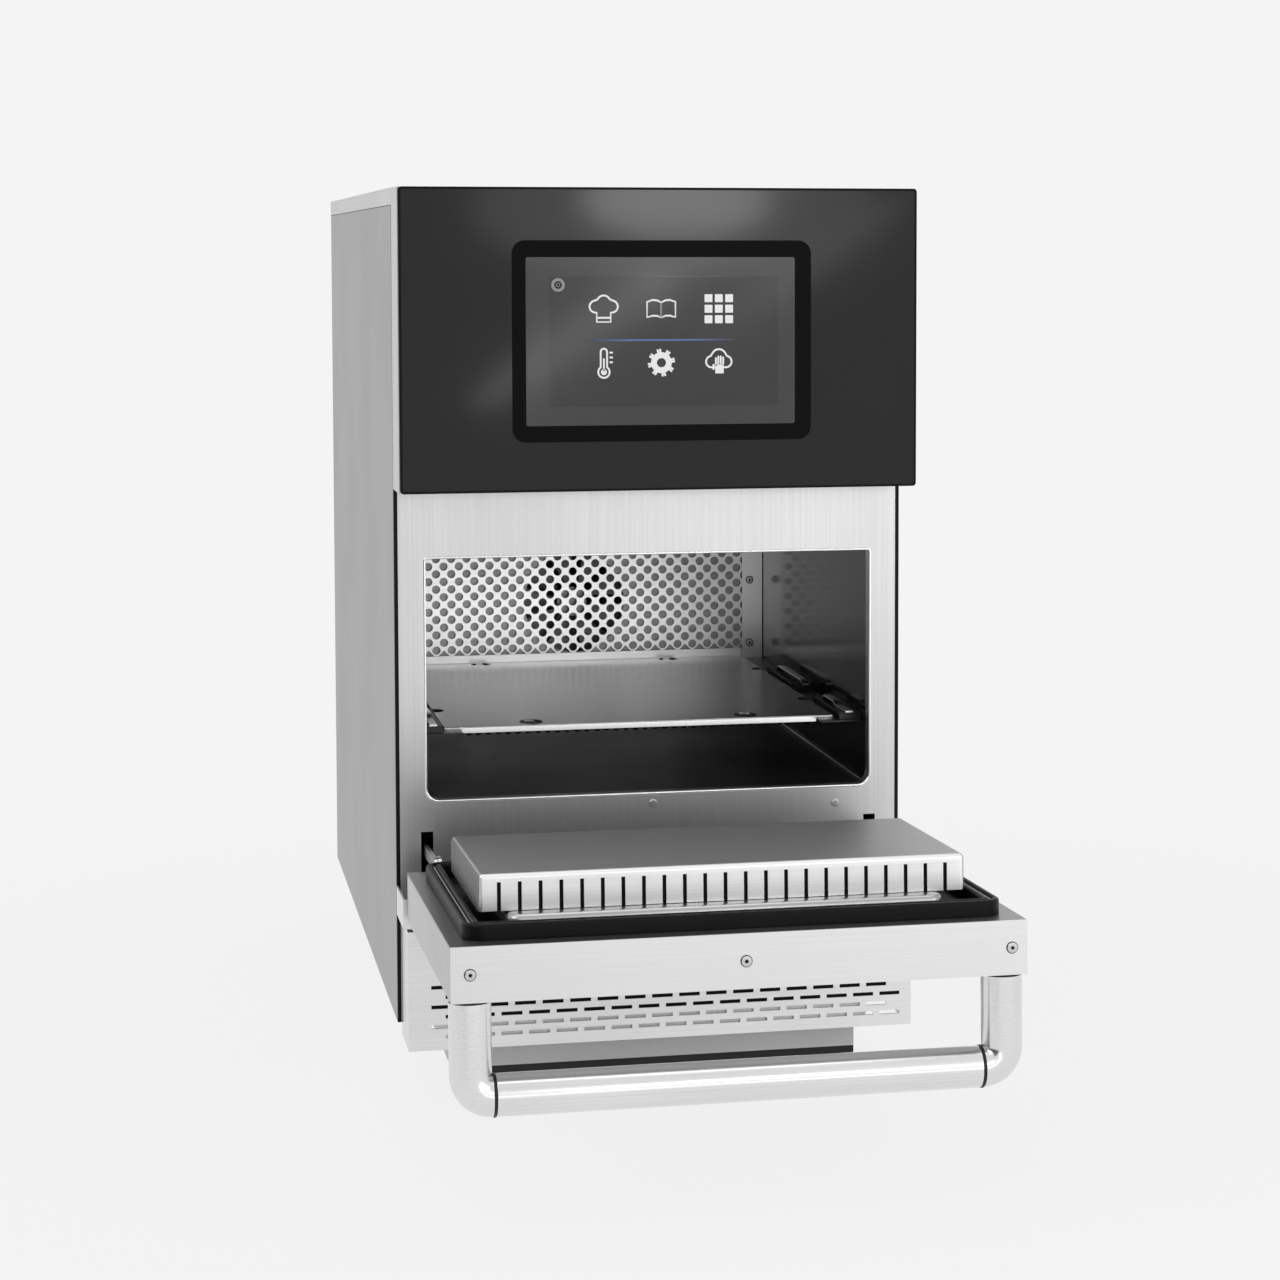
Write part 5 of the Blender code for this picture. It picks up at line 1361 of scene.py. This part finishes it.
def add_rail_clip(side, number, path):
    """A strip of spring steel: a block extruded along a path of depths and heights."""
    depth, height = path[0]
    spans = side_span(side, *CLIP_X), (depth, depth + CLIP_START), (height, height + CLIP_SHEET)
    piece = add_block("rail_clip_%s_%d" % (side, number), *zip(*spans))
    edit(piece, "FACE", lambda centre, normal: normal.y < -FACING)
    for (last_depth, last_height), (depth, height) in zip(path, path[1:]):
        extrude(0, depth - last_depth, height - last_height)
    leave()
    round_edges(piece, lambda a, b: abs(a.x - b.x) < NEAR and abs(a.y - b.y) > 0.0005, 0.0003, 2)
    return complete(piece, "body", FOLD_HIGHLIGHT_STEEL, "bright_steel")


# A bright line where the wall folds onto the floor, partly painted highlight.
def add_floor_joint(side):
    piece = add_block("floor_joint_" + side, *zip(side_span(side, *JOINT_X), JOINT_Y, JOINT_Z))
    round_edges(piece, lambda a, b: min(a.z, b.z) > JOINT_Z[1] - NEAR, 0.0006)
    return complete(piece, "body", FOLD_HIGHLIGHT_STEEL, "bright_steel")


make_plate()
add_plate_fold()
add_shaded_plate_beads()
for side in SIGN:
    for number, path in enumerate(CLIP_PATHS, 1):
        add_rail_clip(side, number, path)
    add_floor_joint(side)
print("plate, beads and clips added")

# %% [markdown]
# Behind the upper slots of the filter panel it is black, and behind the lowest rows shows the
# plinth's grey. Two thin plates inside the panel give that: the black one is painted shade, the grey
# one the plinth. A black strip in the gap under the plinth is painted shade as well.

# %% Behind the filter and under the plinth
FILTER_Y = (0.0016, 0.0026)
FILTER_BACKS = (
    # The black plate behind the upper slots is painted shade of the dark inside.
    ("filter_slot_shade", 0.1700, (0.0562, 0.0850), BLACK_TRIM_AND_SHADE, "black_plastic"),
    ("filter_lower_strip", 0.1428, (0.0400, 0.0556), PLINTH_PAINT, "bright_steel"),
)
PLINTH_DROP, PLINTH_SHADE_Y = 0.0055, (0.0002, 0.0027)


def add_filter_back(name, half, z, material, slot):
    y = [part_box("filter_panel")[0].y + step for step in FILTER_Y]
    piece = add_block(name, *zip((-half, half), y, z))
    round_edges(piece, lambda a, b: abs(a.y - b.y) > 0.0005, 0.0020)
    return complete(piece, "filter_panel", material, slot)


# A black strip in the gap under the plinth: painted shade.
def add_plinth_gap_shade():
    low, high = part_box("base_plinth")
    y = [low.y + step for step in PLINTH_SHADE_Y]
    bottom = low.z - PLINTH_DROP
    piece = add_block("plinth_gap_painted_shade", *zip((low.x, high.x), y, (bottom, low.z)))
    round_edges(piece, lambda a, b: max(a.z, b.z) < bottom + NEAR, 0.0008)
    return complete(piece, "body", BLACK_PLASTIC_AND_SHADE, "black_plastic")


for row in FILTER_BACKS:
    add_filter_back(*row)
add_plinth_gap_shade()
print("filter backs and plinth strip added")

# %% [markdown]
# A pale floor runs under the oven, and the world behind it is the same pale grey to the camera and
# in reflections. The floor keeps a soft shadow near the oven and glows towards the distance, so
# that no horizon shows.

# %% Floor and world
BACKGROUND = (0.905, 0.905, 0.905, 1)
WORLD_LIGHT = (0.56, 0.56, 0.56, 1)
FLOOR_WHITE = (0.88, 0.88, 0.88, 1)
FLOOR_MIDDLE = (0, -0.1, 0)
FLOOR_FADE = (0.35, 1.5)
FLOOR_GLOW = (0.93, 1.0)


def seen_rays(tree, *kinds):
    """1 for the camera's rays and those of these kinds, and 0 for all others."""
    path = add_node(tree, "ShaderNodeLightPath")
    share = path.outputs["Is Camera Ray"]
    for kind in kinds:
        both = {0: share, 1: path.outputs["Is %s Ray" % kind]}
        share = add_node(tree, "ShaderNodeMath", both, operation="MAXIMUM").outputs["Value"]
    return share


def choose_shader(tree, share, first, second):
    node = add_node(tree, "ShaderNodeMixShader", {"Fac": share, 1: first, 2: second})
    return node.outputs["Shader"]


def build_world():
    world = bpy.data.worlds.new("studio_world")
    world.use_nodes = True
    tree = world.node_tree
    tree.nodes.clear()
    lighting, seen = [add_node(tree, "ShaderNodeBackground", {"Color": colour}).outputs[0]
                      for colour in (WORLD_LIGHT, BACKGROUND)]
    surface = choose_shader(tree, seen_rays(tree, "Glossy", "Transmission"), lighting, seen)
    add_node(tree, "ShaderNodeOutputWorld", {"Surface": surface})
    bpy.context.scene.world = world


def glow_share(tree, where):
    """How much of the floor is plain background: most of it near the oven, all of it far away."""
    offset = add_node(tree, "ShaderNodeVectorMath", {0: where, 1: FLOOR_MIDDLE},
                      operation="DISTANCE")
    fade = spread(tree, offset.outputs["Value"], *FLOOR_GLOW, *FLOOR_FADE,
                  interpolation_type="SMOOTHSTEP")
    share = add_node(tree, "ShaderNodeMath", {0: seen_rays(tree, "Glossy"), 1: fade},
                     operation="MULTIPLY")
    return share.outputs["Value"]


def add_stage_sheet(name, parts, size, material_name, colour):
    """A flat grid that is part of the studio and not of the oven, in plain matt paper."""
    deselect()
    bpy.ops.mesh.primitive_grid_add(x_subdivisions=parts, y_subdivisions=parts, size=size)
    sheet = bpy.context.active_object
    sheet.name = name
    material, tree, shader, where = new_material(material_name)
    feed(tree, shader, {"Base Color": colour, "Roughness": 0.9})
    coat(sheet, material)
    return sheet, tree, shader, where


def build_floor():
    floor, tree, shader, where = add_stage_sheet("studio_floor", 8, 24, "floor_paper", FLOOR_WHITE)
    feed(tree, shader, {"Specular IOR Level": 0.1})
    glow = add_node(tree, "ShaderNodeEmission", {"Color": BACKGROUND})
    surface = choose_shader(tree, glow_share(tree, where), shader.outputs["BSDF"],
                            glow.outputs["Emission"])
    feed(tree, tree.nodes["Material Output"], {"Surface": surface})
    return floor


build_world()
print("floor and world ready, floor", round(build_floor().dimensions.x), "m wide")

# %% [markdown]
# The lamps are large and soft, and hidden from the camera, as a studio's would be. A dark card
# beside the oven is seen only mirrored in the steel, and gives its left parts their darker tone.

# %% Soft lamps and a dark card
LAMP_TARGET = (0, -0.1, 0.3)
LAMPS = (
    ("key_left", (-2.0, -1.3, 1.9), (1.4, 1.4), 15),
    ("fill_right", (1.2, -1.9, 0.7), (0.8, 1.2), 6),
    ("front_low", (0.15, -1.75, 0.16), (1.2, 0.16), 0.5),
    ("top_soft", (0.1, 0.1, 2.3), (1.8, 1.8), 11),
)
CARD_PLACE = (-1.34, -1.31, 0.40)
CARD_TARGET = (0, -0.44, 0.10)
CARD_SIZE = (2.2, 1.0, 1, 1)
CARD_GREY = (0.07, 0.07, 0.07, 1)


def aim(place, target, axis):
    """The matrix of something that stands at a place and points one of its axes at a target."""
    turn = (Vector(target) - Vector(place)).to_track_quat(axis, "Y")
    return Matrix.Translation(place) @ turn.to_matrix().to_4x4()


def add_lamp(name, place, target, size, power, shape="RECTANGLE", slope=0.0):
    lamp = bpy.data.lights.new(name, "AREA")
    lamp.shape = shape
    lamp.size, lamp.size_y = size
    lamp.energy = power
    holder = link(name, lamp)
    holder.matrix_world = aim(place, target, "-Z") @ Matrix.Rotation(slope, 4, "Z")
    holder.visible_camera = False


def add_shade_card():
    card = add_stage_sheet("studio_shade_card", 4, 1, "card_dark_grey", CARD_GREY)[0]
    card.matrix_world = aim(CARD_PLACE, CARD_TARGET, "Z") @ Matrix.Diagonal(CARD_SIZE)
    card.visible_camera = card.visible_diffuse = card.visible_shadow = False


for name, place, size, power in LAMPS:
    add_lamp(name, place, LAMP_TARGET, size, power)
add_shade_card()
print("soft lamps:", len(LAMPS))

# %% [markdown]
# The black glass shows bright slanted streaks: narrow windows or tubes mirrored in it. Here they
# are real lamps, turned to the slope that the streaks have. A flat mirror keeps left, right, up and
# down, so each lamp's place follows from the point of the glass where it should be seen.

# %% Streaks in the glass
STREAK_AHEAD = 1.5
STREAKS = (
    ("streak_upper", (0.110, 0.633), (-0.012, 0.551), 0.040, 0.34),
    ("streak_lower", (0.015, 0.569), (-0.130, 0.472), 0.042, 0.10),
    ("streak_side", (0.175, 0.617), (0.035, 0.521), 0.030, 0.04),
    ("glow_top", (-0.055, 0.612), (0.075, 0.612), 0.090, 0.36),
    ("glow_wide", (-0.130, 0.606), (0.150, 0.606), 0.170, 0.28),
)


def mirrored_place(x, z):
    """Where a lamp stands so that the camera sees it at a point of the front glass."""
    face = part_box("control_glass")[0].y
    eye = camera.location
    share = STREAK_AHEAD / (face - eye.y)
    return Vector((x + (x - eye.x) * share, face - STREAK_AHEAD, z + (z - eye.z) * share))


def add_streak(name, start, end, width, power):
    first, last = mirrored_place(*start), mirrored_place(*end)
    span = last - first
    middle = (first + last) / 2
    slope = math.atan2(span.z, span.x)
    target = middle + Vector((0, 1, 0))
    add_lamp(name, middle, target, (span.length, width), power, "ELLIPSE", slope)


for streak in STREAKS:
    add_streak(*streak)
print("streaks added:", len(STREAKS))

# %% [markdown]
# The standard view shows each colour as it is written.

# %% Standard view
bpy.context.scene.view_settings.view_transform = "Standard"
